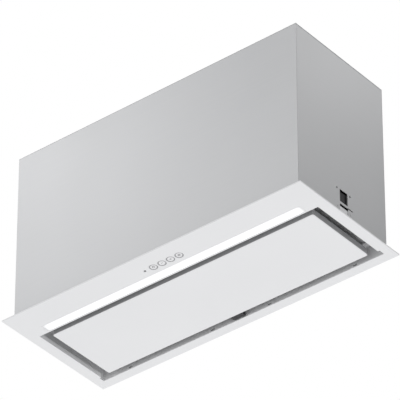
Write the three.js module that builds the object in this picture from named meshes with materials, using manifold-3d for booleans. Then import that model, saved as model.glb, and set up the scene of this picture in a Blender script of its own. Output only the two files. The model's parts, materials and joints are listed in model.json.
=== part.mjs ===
// Built-in canopy range hood, millimetres, +Z up.
// The frame's origin is the middle of the mounting flange's underside. -Y is the side with the controls.
// Outside: a thin flange below a sheet-steel casing. Inside: a perimeter suction panel on a front hinge, two
// grease filters, a double-inlet blower on the lid, an outlet collar with two non-return flaps, and the wiring.
import * as THREE from "three";
import { mergeVertices } from "three/addons/utils/BufferGeometryUtils.js";
import Module from "manifold-3d";

const wasm = await Module();
wasm.setup();

// ---------------------------------------------------------------- driving dimensions

const SHEET = 1.2; // thickness of every folded sheet-steel piece
const SEAM = 0.1; // gap left where two sheets lie against each other
const FIT = 0.3; // clearance round a piece that seats in another
const RUN = 0.3; // clearance round a piece that turns or slides
const PAST = 1; // how far a cutting solid runs past the face it cuts
const SINK = 0.2; // how deep one half of a joined piece goes into the other

// Mounting flange and the opening in it
const FLANGE_WIDTH = 700;
const FLANGE_DEPTH = 292;
const FLANGE_THICKNESS = 2;
const FLANGE_HEM = { width: 10, rise: 0.8 }; // folded-back edge that bears on the cabinet
const FRONT_STRIP = 81; // flange in front of the opening: lamp and buttons
const REAR_STRIP = 21;
const SIDE_STRIP = 19; // at the rear corners, where the side folds have ended
const SIDE_FOLD_INSET = 4; // the side folds stand this far inside the side strips
const SIDE_FOLD_HEIGHT = 8;
const CORNER_NOTCH = 13; // length of opening behind the side folds

// Casing
const FLANGE_OVERHANG_SIDE = 16.5;
const FLANGE_OVERHANG_FRONT = 16;
const CASING_TOP = 375; // top of the lid above the flange's underside
const CASING_RETURN = 14; // inward folds on the side panels' upright edges
const LID_SHADOW_GAP = 0.8; // dark line between the lid and the side panels

// Inlet collar, the duct that rises from the opening
const COLLAR_HEIGHT = 32;
const FILTER_LEDGE = 12;
const VENT_SLOT = { length: 9, height: 3, base: 3.2, outerFromEnd: 66, innerFromMiddle: 67 };

// Perimeter suction panel
const PANEL_HEIGHT = 13;
const PANEL_GAP_FRONT = 12.5;
const PANEL_GAP_REAR = 14.5;
const PANEL_GAP_SIDE = 25;
const STIFFENER_DROP = 3; // underside of the inner plate below the panel's rim
const STIFFENER_RIB = { rise: 2.4, width: 10, fromEnd: 30 };
const HINGE_INSET = 8.5; // hinge axis behind the panel's front edge
const HINGE_ABOVE_PANEL = 4;
const HINGE_FROM_END = 58; // middle of a hinge ear from the panel's end
const HINGE_PIN_RADIUS = 2;
const PIN_PROUD = 1; // how far a pin stands out of what holds it
const HINGE_EAR = { width: 4, radius: 4.6 };
const HINGE_LEG = { width: 3, depth: 6, below: 3.2, arm: 3 };
const CATCH = { width: 26, depth: 8, wall: 3, housingHeight: 13, abovePanel: 1.5, base: 0.4, travel: 2 };

// Lamp
const LAMP = { endInset: 29, width: 18.6, fromOpening: 4.5, shoulder: 1.6, thickness: 4 };
const LAMP_HOUSING_HEIGHT = 16;
const LAMP_BOARD = { width: 11, thickness: 1.6, above: 11, fromEnd: 4 };
const LED = { count: 20, length: 5, width: 4, height: 1 };

// Controls
const BUTTON_PITCH = 20;
const BUTTON_ROW_X = 10; // middle of the four buttons
const BUTTON_ROW_BEFORE_LAMP = 16.9; // from the lamp's front edge to the middle of the row
const BUTTON_RADIUS = 6.4;
const BUTTON_BASE = 0.2; // a button's face above the flange's underside
const BUTTON_DISH = { wall: 1.4, depth: 0.4 };
const BUTTON_HEIGHT = 7;
const BUTTON_TRAVEL = 1.5;
const BEZEL = { wall: 1.5, height: 7 };
const INDICATOR_RADIUS = 2.2;
const CONTROL_BOARD = { margin: 14, depth: 22, thickness: 1.6 };
const CONTROL_CASE = { wall: 1.6, height: 20 };
const SWITCH = { side: 6, height: 3 };

// Grease filters
const FILTER = { frame: 10, thickness: 9, gap: 3, clipGap: 1.2, pleats: 12, skin: 1 };
const FILTER_STRAP = { length: 60, width: 12, drop: 10, thickness: 1.5 };

// Blower
const IMPELLER_RADIUS = 70;
const IMPELLER_WIDTH = 90;
const BLADE = { count: 30, chord: 12, inset: [1, 1.5], thickness: 1.2, lean: 0.6 };
const IMPELLER_RING = 2;
const HUB = { radius: 13, width: 22, web: 2, spokes: 5, spokeWidth: 14, fromMotor: 3 };
const SHAFT_RADIUS = 4;
const VOLUTE_GAP = 8; // between the impeller and the volute at its tongue
const VOLUTE_GROWTH = 34;
const TONGUE_ANGLE = THREE.MathUtils.degToRad(80);
const VOLUTE_SIDE_GAP = 7; // between the impeller's ends and the side plates
const AXIS_BELOW_LID = 165;
const INLET_RADIUS = 56;
const INLET_LIP = { radius: 62, height: 5, wall: 2 };
const MOTOR = { radius: 40, length: 58, into: 34, cap: 26, capLength: 8 };
const MOTOR_RING = { outer: 68, inner: 60, arms: 3, armWidth: 12, thickness: 2.5, clamp: 4, clampDepth: 6 };
const CAPACITOR = { radius: 15, length: 60, belowLid: 4 };

// Outlet
const DUCT_DIAMETER = 150;
const OUTLET_FROM_REAR = 85; // middle of the outlet from the casing's rear
const OUTLET_HEIGHT = 45;
const OUTLET_FLANGE = 9;
const FLAP_AXIS_ABOVE_LID = 22;
const FLAP = { thickness: 1.2, clearance: 2.4, sleeve: 1.3, slot: 0.6, play: 1 };
const FLAP_PIN_RADIUS = 1.5;
const FLAP_STOP = 3;

// Wiring box on the lid's underside
const WIRING_BOX = { fromSide: 27.3, width: 110, depth: 130, height: 46, wall: 1.5 };
const TERMINAL_BLOCK = { width: 50, depth: 18, height: 16, poles: 5, bore: 2.2, floor: 6 };
const BOX_MARGIN = 6; // from the wiring box's ends to what is in it
const DRIVER = { width: 70, depth: 36, height: 24 };
const GLAND = { hexRadius: 11, bodyRadius: 8, bore: 4, above: 12, below: 10, y: -30 };

// Swing-out clips that hold the hood in the cabinet, one in a window on each side
const CLIP_WINDOW = { y: 3.8, width: 23, bottom: 43, top: 70 };
const LOWER_WINDOW = { y: 4.1, width: 24, top: 38 };
const WINDOW_SLIT = { length: 15, height: 1.8, below: 0.6 };
const CLIP_HOLE = { radius: 2, spacingY: 38.6, spacingZ: 42, y: 3.4, z: 47.5 };
const CLIP = { width: 17, thickness: 1.5, length: 22, pinRadius: 1.5, sleeve: 1.2, inset: 5, aboveSill: 3 };
const CLIP_BRACKET = { ear: 2, depth: 10, height: 22, foot: 12 };

// ---------------------------------------------------------------- sizes worked out from them

const CASING_X = FLANGE_WIDTH / 2 - FLANGE_OVERHANG_SIDE;
const CASING_Y = FLANGE_DEPTH / 2 - FLANGE_OVERHANG_FRONT;
const LID_UNDER = CASING_TOP - SHEET;
const OPENING_X = FLANGE_WIDTH / 2 - SIDE_STRIP;
const OPENING_FRONT = -FLANGE_DEPTH / 2 + FRONT_STRIP;
const OPENING_REAR = FLANGE_DEPTH / 2 - REAR_STRIP;
const FOLD_X = OPENING_X - SIDE_FOLD_INSET;
const FOLD_REAR = OPENING_REAR - CORNER_NOTCH;
const COLLAR_BASE = FLANGE_THICKNESS + SEAM;
const COLLAR_TOP = COLLAR_HEIGHT + SHEET;

const PANEL_X = OPENING_X - PANEL_GAP_SIDE;
const PANEL_FRONT = OPENING_FRONT + PANEL_GAP_FRONT;
const PANEL_REAR = OPENING_REAR - PANEL_GAP_REAR;
const HINGE_X = PANEL_X - HINGE_FROM_END;
const HINGE_Y = PANEL_FRONT + HINGE_INSET;
const HINGE_Z = PANEL_HEIGHT + HINGE_ABOVE_PANEL;

const LAMP_LENGTH = 2 * (OPENING_X - LAMP.endInset);
const LAMP_Y = [OPENING_FRONT - LAMP.fromOpening - LAMP.width, OPENING_FRONT - LAMP.fromOpening];
const BUTTON_Y = LAMP_Y[0] - BUTTON_ROW_BEFORE_LAMP;
const BUTTONS_X = [-1.5, -0.5, 0.5, 1.5].map((step) => BUTTON_ROW_X + step * BUTTON_PITCH);
const INDICATOR_X = BUTTONS_X[0] - BUTTON_PITCH;
const BEZEL_INNER = BUTTON_RADIUS + RUN;
const BEZEL_OUTER = BEZEL_INNER + BEZEL.wall;
const SWITCH_BOTTOM = BUTTON_HEIGHT + BUTTON_TRAVEL + RUN;
const BOARD_BOTTOM = SWITCH_BOTTOM + SWITCH.height;

const VOLUTE_START = IMPELLER_RADIUS + VOLUTE_GAP;
const VOLUTE_END = VOLUTE_START + VOLUTE_GROWTH;
const VOLUTE_X = IMPELLER_WIDTH / 2 + VOLUTE_SIDE_GAP;
const TONGUE_Y = VOLUTE_START * Math.cos(TONGUE_ANGLE);
const VOLUTE_TOP = AXIS_BELOW_LID - SEAM;
const OUTLET_Y = CASING_Y - OUTLET_FROM_REAR;
const AXIS_Y = OUTLET_Y - (TONGUE_Y + VOLUTE_END) / 2;
const AXIS_Z = LID_UNDER - AXIS_BELOW_LID;

const DUCT_OUTER = DUCT_DIAMETER / 2 - SEAM;
const DUCT_INNER = DUCT_OUTER - SHEET;
const FLAP_RADIUS = DUCT_INNER - FLAP.clearance;

const FILTER_BASE = COLLAR_TOP + SEAM;
const FILTER_END = CASING_X - SHEET - SEAM - CLIP_BRACKET.depth - FILTER.clipGap;
const FILTER_MIDDLE = (FILTER_END + FILTER.gap) / 2;
const FILTER_LENGTH = FILTER_END - FILTER.gap;
const FILTER_Y = [OPENING_FRONT + FILTER.gap, OPENING_REAR - FILTER.gap];
const WIRING_BOX_X = -(CASING_X - SHEET - WIRING_BOX.fromSide - WIRING_BOX.width / 2);
const CLIP_PIN_X = CASING_X - CLIP.inset - SHEET;
const CLIP_PIN_Z = CLIP_WINDOW.bottom + CLIP.aboveSill;

// ---------------------------------------------------------------- solids

const X = new THREE.Vector3(1, 0, 0);
const Y = new THREE.Vector3(0, 1, 0);
const Z = new THREE.Vector3(0, 0, 1);
// An outline's own x, y and thickness directions, for a slab that is thick along X, Y or Z
const SLAB_AXES = { x: [Y, Z, X], y: [Z, X, Y], z: [X, Y, Z] };

function toSolid(geometry) {
  const bare = geometry.clone();
  bare.deleteAttribute("normal");
  bare.deleteAttribute("uv");
  const merged = mergeVertices(bare, 1e-4);
  const vertProperties = merged.attributes.position.array;
  const triVerts = new Uint32Array(merged.index.array);
  return new wasm.Manifold(new wasm.Mesh({ numProp: 3, vertProperties, triVerts }));
}

function block([x0, x1], [y0, y1], [z0, z1]) {
  const geometry = new THREE.BoxGeometry(x1 - x0, y1 - y0, z1 - z0);
  return toSolid(geometry.translate((x0 + x1) / 2, (y0 + y1) / 2, (z0 + z1) / 2));
}

// A round bar along an axis, from one place on that axis to another; at is the middle of its section
function rod(axis, radius, [from, to], at = [0, 0, 0], sides = 24) {
  const geometry = new THREE.CylinderGeometry(radius, radius, to - from, sides);
  geometry.translate(0, (from + to) / 2, 0);
  if (axis === "x") geometry.rotateZ(-Math.PI / 2);
  if (axis === "z") geometry.rotateX(Math.PI / 2);
  return toSolid(geometry.translate(...at));
}

// An outline given the thickness from..to along an axis
function slab(axis, outline, [from, to], holes = []) {
  const shape = new THREE.Shape(outline.map(([u, v]) => new THREE.Vector2(u, v)));
  for (const hole of holes) {
    shape.holes.push(new THREE.Path(hole.map(([u, v]) => new THREE.Vector2(u, v))));
  }
  const options = { depth: to - from, bevelEnabled: false, curveSegments: 1 };
  const geometry = new THREE.ExtrudeGeometry(shape, options);
  geometry.translate(0, 0, from);
  return toSolid(geometry.applyMatrix4(new THREE.Matrix4().makeBasis(...SLAB_AXES[axis])));
}

// A ring or cup turned about Z from a closed profile of [radius, height] points
function turned(profile, sides = 32) {
  const points = [...profile, profile[0]].map(([r, z]) => new THREE.Vector2(r, z));
  return toSolid(new THREE.LatheGeometry(points, sides).rotateX(Math.PI / 2));
}

// Points along an arc, from one angle to another
function arc([u, v], radius, from, to, steps) {
  return Array.from({ length: steps + 1 }, (_, i) => {
    const angle = from + ((to - from) * i) / steps;
    return [u + radius * Math.cos(angle), v + radius * Math.sin(angle)];
  });
}

function circle(centre, radius, sides) {
  return arc(centre, radius, 0, 2 * Math.PI, sides).slice(0, -1);
}

const joined = (solids) => solids.reduce((all, solid) => all.add(solid));
const cutFrom = (body, tools) => tools.reduce((left, tool) => left.subtract(tool), body);

// ---------------------------------------------------------------- finishes

const finish = (color, roughness, metalness) => new THREE.MeshStandardMaterial({ color, roughness, metalness });
const FINISH = {
  casing: () => finish(0xc6c6c9, 0.42, 0.85),
  whitePaint: () => finish(0xe8e8ea, 0.38, 0.0),
  liner: () => finish(0xb9babc, 0.5, 0.8),
  blackPlastic: () => finish(0x1c1c1e, 0.55, 0.0),
  buttonMetal: () => finish(0xcfcfd2, 0.3, 0.9),
  diffuser: () => finish(0xfdfdff, 0.35, 0.0),
  board: () => finish(0x1f5a38, 0.6, 0.0),
  aluminium: () => finish(0xa9abad, 0.45, 0.9),
  steelPin: () => finish(0x8f9092, 0.3, 1.0),
  greyPlastic: () => finish(0x77797c, 0.6, 0.0),
};

function mesh(name, solid, material) {
  const { vertProperties, triVerts } = solid.getMesh();
  const indexed = new THREE.BufferGeometry();
  indexed.setAttribute("position", new THREE.BufferAttribute(vertProperties, 3));
  indexed.setIndex(new THREE.BufferAttribute(triVerts, 1));
  const geometry = indexed.toNonIndexed();
  geometry.computeVertexNormals();
  const made = new THREE.Mesh(geometry, material());
  made.name = name;
  return made;
}

function group(position, children) {
  const made = new THREE.Group();
  made.position.set(...position);
  made.add(...children);
  return made;
}

// ---------------------------------------------------------------- casing and flange

function frontPanel() {
  const z = [COLLAR_BASE, LID_UNDER - SEAM];
  return mesh("front_panel", block([-CASING_X, CASING_X], [-CASING_Y, -CASING_Y + SHEET], z), FINISH.casing);
}

function rearPanel() {
  const z = [COLLAR_BASE, LID_UNDER - SEAM];
  return mesh("rear_panel", block([-CASING_X, CASING_X], [CASING_Y - SHEET, CASING_Y], z), FINISH.casing);
}

// The holes of a right-hand side panel: the clip's window, the window and slit below it, and four screw holes
function clipCutouts() {
  const through = [CASING_X - SHEET - PAST, CASING_X + PAST];
  const windowEnds = ({ y, width }) => [y - width / 2, y + width / 2];
  const slitStart = LOWER_WINDOW.y + LOWER_WINDOW.width / 2 - PAST;
  const slitBottom = LOWER_WINDOW.top - WINDOW_SLIT.below;
  const slitTop = LOWER_WINDOW.top + WINDOW_SLIT.height;
  const cuts = [
    block(through, windowEnds(CLIP_WINDOW), [CLIP_WINDOW.bottom, CLIP_WINDOW.top]),
    block(through, windowEnds(LOWER_WINDOW), [COLLAR_BASE - PAST, LOWER_WINDOW.top]),
    block(through, [slitStart, slitStart + WINDOW_SLIT.length], [slitBottom, slitTop]),
  ];
  for (const sideY of [-0.5, 0.5]) {
    for (const sideZ of [-0.5, 0.5]) {
      const at = [0, CLIP_HOLE.y + sideY * CLIP_HOLE.spacingY, CLIP_HOLE.z + sideZ * CLIP_HOLE.spacingZ];
      cuts.push(rod("x", CLIP_HOLE.radius, through, at, 12));
    }
  }
  return cuts;
}

function sidePanel(name, side) {
  const end = CASING_Y - SHEET - SEAM;
  const inner = CASING_X - SHEET;
  const fold = inner - CASING_RETURN;
  const outline = [
    [CASING_X, -end],
    [CASING_X, end],
    [fold, end],
    [fold, end - SHEET],
    [inner, end - SHEET],
    [inner, -end + SHEET],
    [fold, -end + SHEET],
    [fold, -end],
  ];
  const channel = slab("z", outline, [COLLAR_BASE, LID_UNDER - LID_SHADOW_GAP]);
  const right = cutFrom(channel, clipCutouts());
  return mesh(name, side > 0 ? right : right.mirror([1, 0, 0]), FINISH.casing);
}

function topPanel() {
  const lid = block([-CASING_X, CASING_X], [-CASING_Y, CASING_Y], [LID_UNDER, CASING_TOP]);
  const through = [LID_UNDER - PAST, CASING_TOP + PAST];
  const holes = [
    rod("z", DUCT_INNER, through, [0, OUTLET_Y, 0], 32),
    rod("z", GLAND.bodyRadius + FIT, through, [WIRING_BOX_X, GLAND.y, 0]),
  ];
  return mesh("top_panel", cutFrom(lid, holes), FINISH.casing);
}

// Flat ring with the lamp's slot and the buttons' holes, a hem round its outer edge, and a fold that stands up
// along each side of the opening
function flangeFrame() {
  const plateZ = [0, FLANGE_THICKNESS];
  const through = [-PAST, FLANGE_THICKNESS + SIDE_FOLD_HEIGHT + PAST];
  const plate = block([-FLANGE_WIDTH / 2, FLANGE_WIDTH / 2], [-FLANGE_DEPTH / 2, FLANGE_DEPTH / 2], plateZ);
  const cuts = [
    block([-FOLD_X, FOLD_X], [OPENING_FRONT, FOLD_REAR + PAST], through),
    block([-OPENING_X, OPENING_X], [FOLD_REAR, OPENING_REAR], through),
    block([-LAMP_LENGTH / 2 - FIT, LAMP_LENGTH / 2 + FIT], [LAMP_Y[0] - FIT, LAMP_Y[1] + FIT], through),
    rod("z", INDICATOR_RADIUS + FIT, through, [INDICATOR_X, BUTTON_Y, 0], 16),
    ...BUTTONS_X.map((x) => rod("z", BEZEL_OUTER + FIT, through, [x, BUTTON_Y, 0])),
  ];
  const foldZ = [FLANGE_THICKNESS / 2, FLANGE_THICKNESS + SIDE_FOLD_HEIGHT];
  const foldY = [OPENING_FRONT, FOLD_REAR];
  const folds = [
    block([FOLD_X, FOLD_X + SHEET], foldY, foldZ),
    block([-FOLD_X - SHEET, -FOLD_X], foldY, foldZ),
  ];
  const hemX = FLANGE_WIDTH / 2;
  const hemY = FLANGE_DEPTH / 2;
  const hemZ = [FLANGE_THICKNESS / 2, FLANGE_THICKNESS + FLANGE_HEM.rise];
  const insideHem = block(
    [-hemX + FLANGE_HEM.width, hemX - FLANGE_HEM.width],
    [-hemY + FLANGE_HEM.width, hemY - FLANGE_HEM.width],
    [0, hemZ[1] + PAST],
  );
  const hem = block([-hemX, hemX], [-hemY, hemY], hemZ).subtract(insideHem);
  return mesh("flange_frame", joined([cutFrom(plate, cuts), hem, ...folds]), FINISH.whitePaint);
}

// Four upright walls round the opening and the inward ledge that the filters lie on
function inletCollar() {
  const outerX = CASING_X - SHEET - SEAM;
  const outerY = [OPENING_FRONT - SHEET, OPENING_REAR + SHEET];
  const walls = block([-outerX, outerX], outerY, [COLLAR_BASE, COLLAR_TOP]);
  const ledge = FILTER_LEDGE;
  const outerSlot = OPENING_X - VENT_SLOT.outerFromEnd;
  const slotsX = [-outerSlot, -VENT_SLOT.innerFromMiddle, VENT_SLOT.innerFromMiddle, outerSlot];
  const cuts = [
    block([-OPENING_X, OPENING_X], [OPENING_FRONT, OPENING_REAR], [COLLAR_BASE - PAST, COLLAR_HEIGHT]),
    block(
      [-OPENING_X + ledge, OPENING_X - ledge],
      [OPENING_FRONT + ledge, OPENING_REAR - ledge],
      [COLLAR_HEIGHT - PAST, COLLAR_TOP + PAST],
    ),
    ...slotsX.map((x) =>
      block(
        [x - VENT_SLOT.length / 2, x + VENT_SLOT.length / 2],
        [OPENING_REAR - PAST, OPENING_REAR + SHEET + PAST],
        [VENT_SLOT.base, VENT_SLOT.base + VENT_SLOT.height],
      ),
    ),
  ];
  return mesh("inlet_collar", cutFrom(walls, cuts), FINISH.liner);
}

// ---------------------------------------------------------------- suction panel, hinges and catch

// Shallow tray, open on top
function suctionPanel() {
  const outer = block([-PANEL_X, PANEL_X], [PANEL_FRONT, PANEL_REAR], [0, PANEL_HEIGHT]);
  const hollow = block(
    [-PANEL_X + SHEET, PANEL_X - SHEET],
    [PANEL_FRONT + SHEET, PANEL_REAR - SHEET],
    [SHEET, PANEL_HEIGHT + PAST],
  );
  return mesh("suction_panel", outer.subtract(hollow), FINISH.whitePaint);
}

// Plate inside the tray, with two pressed ribs and the two hinge ears
function panelStiffener() {
  const edge = SHEET + FIT;
  const z = [PANEL_HEIGHT - STIFFENER_DROP, PANEL_HEIGHT - STIFFENER_DROP + SHEET];
  const pieces = [block([-PANEL_X + edge, PANEL_X - edge], [PANEL_FRONT + edge, PANEL_REAR - edge], z)];
  const ribX = PANEL_X - STIFFENER_RIB.fromEnd;
  for (const share of [1 / 3, 2 / 3]) {
    const y = PANEL_FRONT + share * (PANEL_REAR - PANEL_FRONT);
    const ribY = [y - STIFFENER_RIB.width / 2, y + STIFFENER_RIB.width / 2];
    pieces.push(block([-ribX, ribX], ribY, [z[1] - SINK, z[1] + STIFFENER_RIB.rise]));
  }
  for (const side of [-1, 1]) {
    const x = side * HINGE_X;
    const ear = [x - HINGE_EAR.width / 2, x + HINGE_EAR.width / 2];
    const at = [0, HINGE_Y, HINGE_Z];
    const foot = block(ear, [HINGE_Y - HINGE_EAR.radius, HINGE_Y + HINGE_EAR.radius], [z[0], HINGE_Z]);
    const eye = foot.add(rod("x", HINGE_EAR.radius, ear, at));
    const bore = rod("x", HINGE_PIN_RADIUS + RUN, [ear[0] - PAST, ear[1] + PAST], at);
    pieces.push(eye.subtract(bore));
  }
  return mesh("panel_stiffener", joined(pieces), FINISH.liner);
}

// Hook that hangs from the collar's ledge beside each hinge ear and holds the pin
function hingeBracket(name, side) {
  const inner = HINGE_X + HINGE_EAR.width / 2 + RUN;
  const x = [inner, inner + HINGE_LEG.width].map((value) => side * value).sort((a, b) => a - b);
  const legY = [HINGE_Y - HINGE_LEG.depth / 2, HINGE_Y + HINGE_LEG.depth / 2];
  const top = COLLAR_HEIGHT - SEAM;
  const leg = block(x, legY, [HINGE_Z - HINGE_LEG.below, top]);
  const arm = block(x, [OPENING_FRONT + SEAM, legY[1]], [top - HINGE_LEG.arm, top]);
  const bore = rod("x", HINGE_PIN_RADIUS + SEAM / 2, [x[0] - PAST, x[1] + PAST], [0, HINGE_Y, HINGE_Z]);
  return mesh(name, joined([leg, arm]).subtract(bore), FINISH.liner);
}

function hingePin(name, side) {
  const middle = side * (HINGE_X + HINGE_LEG.width / 2);
  const half = HINGE_EAR.width / 2 + HINGE_LEG.width / 2 + RUN + PIN_PROUD;
  const pin = rod("x", HINGE_PIN_RADIUS, [middle - half, middle + half], [0, HINGE_Y, HINGE_Z]);
  return mesh(name, pin, FINISH.steelPin);
}

// Housing on the collar's rear wall and the dark tongue that presses on the panel's rear edge
function catchParts() {
  const half = CATCH.width / 2;
  const wall = OPENING_REAR - SEAM;
  const housingBottom = PANEL_HEIGHT + CATCH.abovePanel;
  const housing = block([-half - CATCH.wall, half + CATCH.wall], [wall - CATCH.depth - 2, wall], [
    housingBottom,
    housingBottom + CATCH.housingHeight,
  ]);
  const guide = block(
    [-half / 2 - RUN, half / 2 + RUN],
    [wall - CATCH.depth - 2 - PAST, wall + PAST],
    [housingBottom - PAST, housingBottom + CATCH.housingHeight / 2],
  );
  const front = PANEL_REAR + FIT;
  const back = wall - CATCH.travel - RUN;
  const tongue = joined([
    block([-half, half], [front, back], [CATCH.base, housingBottom - RUN]),
    block([-half / 2, half / 2], [wall - CATCH.depth, back], [
      housingBottom - RUN - SINK,
      housingBottom + CATCH.housingHeight / 2 - RUN,
    ]),
  ]);
  return [
    mesh("catch_housing", housing.subtract(guide), FINISH.blackPlastic),
    mesh("catch_tongue", tongue, FINISH.blackPlastic),
  ];
}

// ---------------------------------------------------------------- lamp

// Long lens: the part in the flange's slot, with a shoulder that lies on the flange's inside
function lampDiffuser() {
  const half = LAMP_LENGTH / 2;
  const shoulder = LAMP.shoulder;
  const solid = joined([
    block([-half, half], LAMP_Y, [0, LAMP.thickness]),
    block(
      [-half - shoulder, half + shoulder],
      [LAMP_Y[0] - shoulder, LAMP_Y[1] + shoulder],
      [FLANGE_THICKNESS + SEAM, LAMP.thickness],
    ),
  ]);
  return mesh("lamp_diffuser", solid, FINISH.diffuser);
}

function lampBoard() {
  const y = (LAMP_Y[0] + LAMP_Y[1]) / 2;
  const half = LAMP_LENGTH / 2 - LAMP_BOARD.fromEnd;
  const bottom = LAMP_BOARD.above;
  const boardY = [y - LAMP_BOARD.width / 2, y + LAMP_BOARD.width / 2];
  const pieces = [block([-half, half], boardY, [bottom, bottom + LAMP_BOARD.thickness])];
  const pitch = (2 * half) / LED.count;
  for (let i = 0; i < LED.count; i++) {
    const x = -half + (i + 0.5) * pitch;
    const ledX = [x - LED.length / 2, x + LED.length / 2];
    pieces.push(block(ledX, [y - LED.width / 2, y + LED.width / 2], [bottom - LED.height, bottom + SINK]));
  }
  return mesh("lamp_board", joined(pieces), FINISH.board);
}

// Upside-down channel over the lens and the board
function lampHousing() {
  const wall = SHEET;
  const reach = LAMP.shoulder + FIT;
  const inX = LAMP_LENGTH / 2 + reach;
  const inY = [LAMP_Y[0] - reach, LAMP_Y[1] + reach];
  const z = [FLANGE_THICKNESS + SEAM, LAMP_HOUSING_HEIGHT];
  const outer = block([-inX - wall, inX + wall], [inY[0] - wall, inY[1] + wall], z);
  const hollow = block([-inX, inX], inY, [z[0] - PAST, z[1] - wall]);
  return mesh("lamp_housing", outer.subtract(hollow), FINISH.aluminium);
}

// ---------------------------------------------------------------- controls

function button(index, x) {
  const cap = rod("z", BUTTON_RADIUS, [BUTTON_BASE, BUTTON_HEIGHT]);
  const dish = rod("z", BUTTON_RADIUS - BUTTON_DISH.wall, [-PAST, BUTTON_BASE + BUTTON_DISH.depth]);
  const bezelProfile = [
    [BEZEL_INNER, 0],
    [BEZEL_OUTER, 0],
    [BEZEL_OUTER, FLANGE_THICKNESS + SEAM],
    [BEZEL_OUTER + BEZEL.wall, FLANGE_THICKNESS + SEAM],
    [BEZEL_OUTER + BEZEL.wall, FLANGE_THICKNESS + BEZEL.wall],
    [BEZEL_OUTER, FLANGE_THICKNESS + BEZEL.wall],
    [BEZEL_OUTER, BEZEL.height],
    [BEZEL_INNER, BEZEL.height],
  ];
  return group([x, BUTTON_Y, 0], [
    mesh(`button_${index}`, cap.subtract(dish), FINISH.buttonMetal),
    mesh(`button_bezel_${index}`, turned(bezelProfile, 24), FINISH.buttonMetal),
  ]);
}

function indicatorLens() {
  const lens = rod("z", INDICATOR_RADIUS, [BUTTON_BASE, BOARD_BOTTOM - FIT], [INDICATOR_X, BUTTON_Y, 0], 16);
  return mesh("indicator_lens", lens, FINISH.blackPlastic);
}

// Circuit board with one push switch above each button
function controlBoard() {
  const x = [INDICATOR_X - CONTROL_BOARD.margin, BUTTONS_X[3] + CONTROL_BOARD.margin];
  const y = [BUTTON_Y - CONTROL_BOARD.depth / 2, BUTTON_Y + CONTROL_BOARD.depth / 2];
  const half = SWITCH.side / 2;
  const board = block(x, y, [BOARD_BOTTOM, BOARD_BOTTOM + CONTROL_BOARD.thickness]);
  const switches = BUTTONS_X.map((at) =>
    block([at - half, at + half], [BUTTON_Y - half, BUTTON_Y + half], [SWITCH_BOTTOM, BOARD_BOTTOM + SINK]),
  );
  return mesh("control_board", joined([board, ...switches]), FINISH.board);
}

function controlCase() {
  const { wall, height } = CONTROL_CASE;
  const inX = [INDICATOR_X - CONTROL_BOARD.margin - FIT, BUTTONS_X[3] + CONTROL_BOARD.margin + FIT];
  const halfY = CONTROL_BOARD.depth / 2 + FIT;
  const inY = [BUTTON_Y - halfY, BUTTON_Y + halfY];
  const bottom = FLANGE_THICKNESS + SEAM;
  const outX = [inX[0] - wall, inX[1] + wall];
  const outY = [inY[0] - wall, inY[1] + wall];
  const outer = block(outX, outY, [bottom, bottom + height]);
  const hollow = block(inX, inY, [bottom - PAST, bottom + height - wall]);
  return mesh("control_case", outer.subtract(hollow), FINISH.greyPlastic);
}

// ---------------------------------------------------------------- grease filters

// Frame, pleated mesh and pull strap of one filter, built round the filter's own middle
function filter(name, side) {
  const halfX = FILTER_LENGTH / 2;
  const halfY = (FILTER_Y[1] - FILTER_Y[0]) / 2;
  const middle = [side * FILTER_MIDDLE, (FILTER_Y[0] + FILTER_Y[1]) / 2, FILTER_BASE];
  const inX = halfX - FILTER.frame;
  const inY = halfY - FILTER.frame;
  const outer = block([-halfX, halfX], [-halfY, halfY], [0, FILTER.thickness]);
  const frame = cutFrom(outer, [
    block([-inX, inX], [-inY, inY], [-PAST, FILTER.thickness + PAST]),
    block([-halfX + SHEET, halfX - SHEET], [-halfY + SHEET, halfY - SHEET], [SHEET, FILTER.thickness - SHEET]),
  ]);

  const meshX = halfX - SHEET - FIT;
  const meshY = halfY - SHEET - FIT;
  const low = SHEET + FIT;
  const high = FILTER.thickness - SHEET - FIT - FILTER.skin;
  const zigzag = Array.from({ length: 2 * FILTER.pleats + 1 }, (_, i) => [
    -meshX + (i * meshX) / FILTER.pleats,
    i % 2 ? high : low,
  ]);
  const upper = zigzag.map(([x, z]) => [x, z + FILTER.skin]).reverse();
  const outline = [...zigzag, ...upper].map(([x, z]) => [z, x]);
  const pleated = slab("y", outline.reverse(), [-meshY, meshY]);

  const strapEnd = halfY - FILTER_LEDGE + FILTER.gap - FIT;
  const strapY = [strapEnd - FILTER_STRAP.width, strapEnd];
  const strapX = FILTER_STRAP.length / 2;
  const strap = block([-strapX, strapX], strapY, [-FILTER_STRAP.drop, -SEAM]);
  const finger = block(
    [-strapX + FILTER_STRAP.thickness, strapX - FILTER_STRAP.thickness],
    [strapY[0] - PAST, strapY[1] + PAST],
    [-FILTER_STRAP.drop + FILTER_STRAP.thickness, 0],
  );
  return group(middle, [
    mesh(`filter_frame_${name}`, frame, FINISH.aluminium),
    mesh(`filter_mesh_${name}`, pleated, FINISH.aluminium),
    mesh(`filter_strap_${name}`, strap.subtract(finger), FINISH.blackPlastic),
  ]);
}

// ---------------------------------------------------------------- blower, round its own axis

// Path of the volute's wall in the plane across the axis, at a distance outside the air passage
function volutePath(outside) {
  const steps = 24;
  const sweep = 2 * Math.PI - TONGUE_ANGLE;
  const spiral = Array.from({ length: steps + 1 }, (_, i) => {
    const angle = TONGUE_ANGLE + (sweep * i) / steps;
    const radius = VOLUTE_START + (VOLUTE_GROWTH * i) / steps + outside;
    return [radius * Math.cos(angle), radius * Math.sin(angle)];
  });
  const neckY = TONGUE_Y - outside;
  const tongueZ = Math.sqrt((VOLUTE_START + outside) ** 2 - neckY ** 2);
  return [[neckY, VOLUTE_TOP], [neckY, tongueZ], ...spiral.slice(1), [VOLUTE_END + outside, VOLUTE_TOP]];
}

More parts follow.
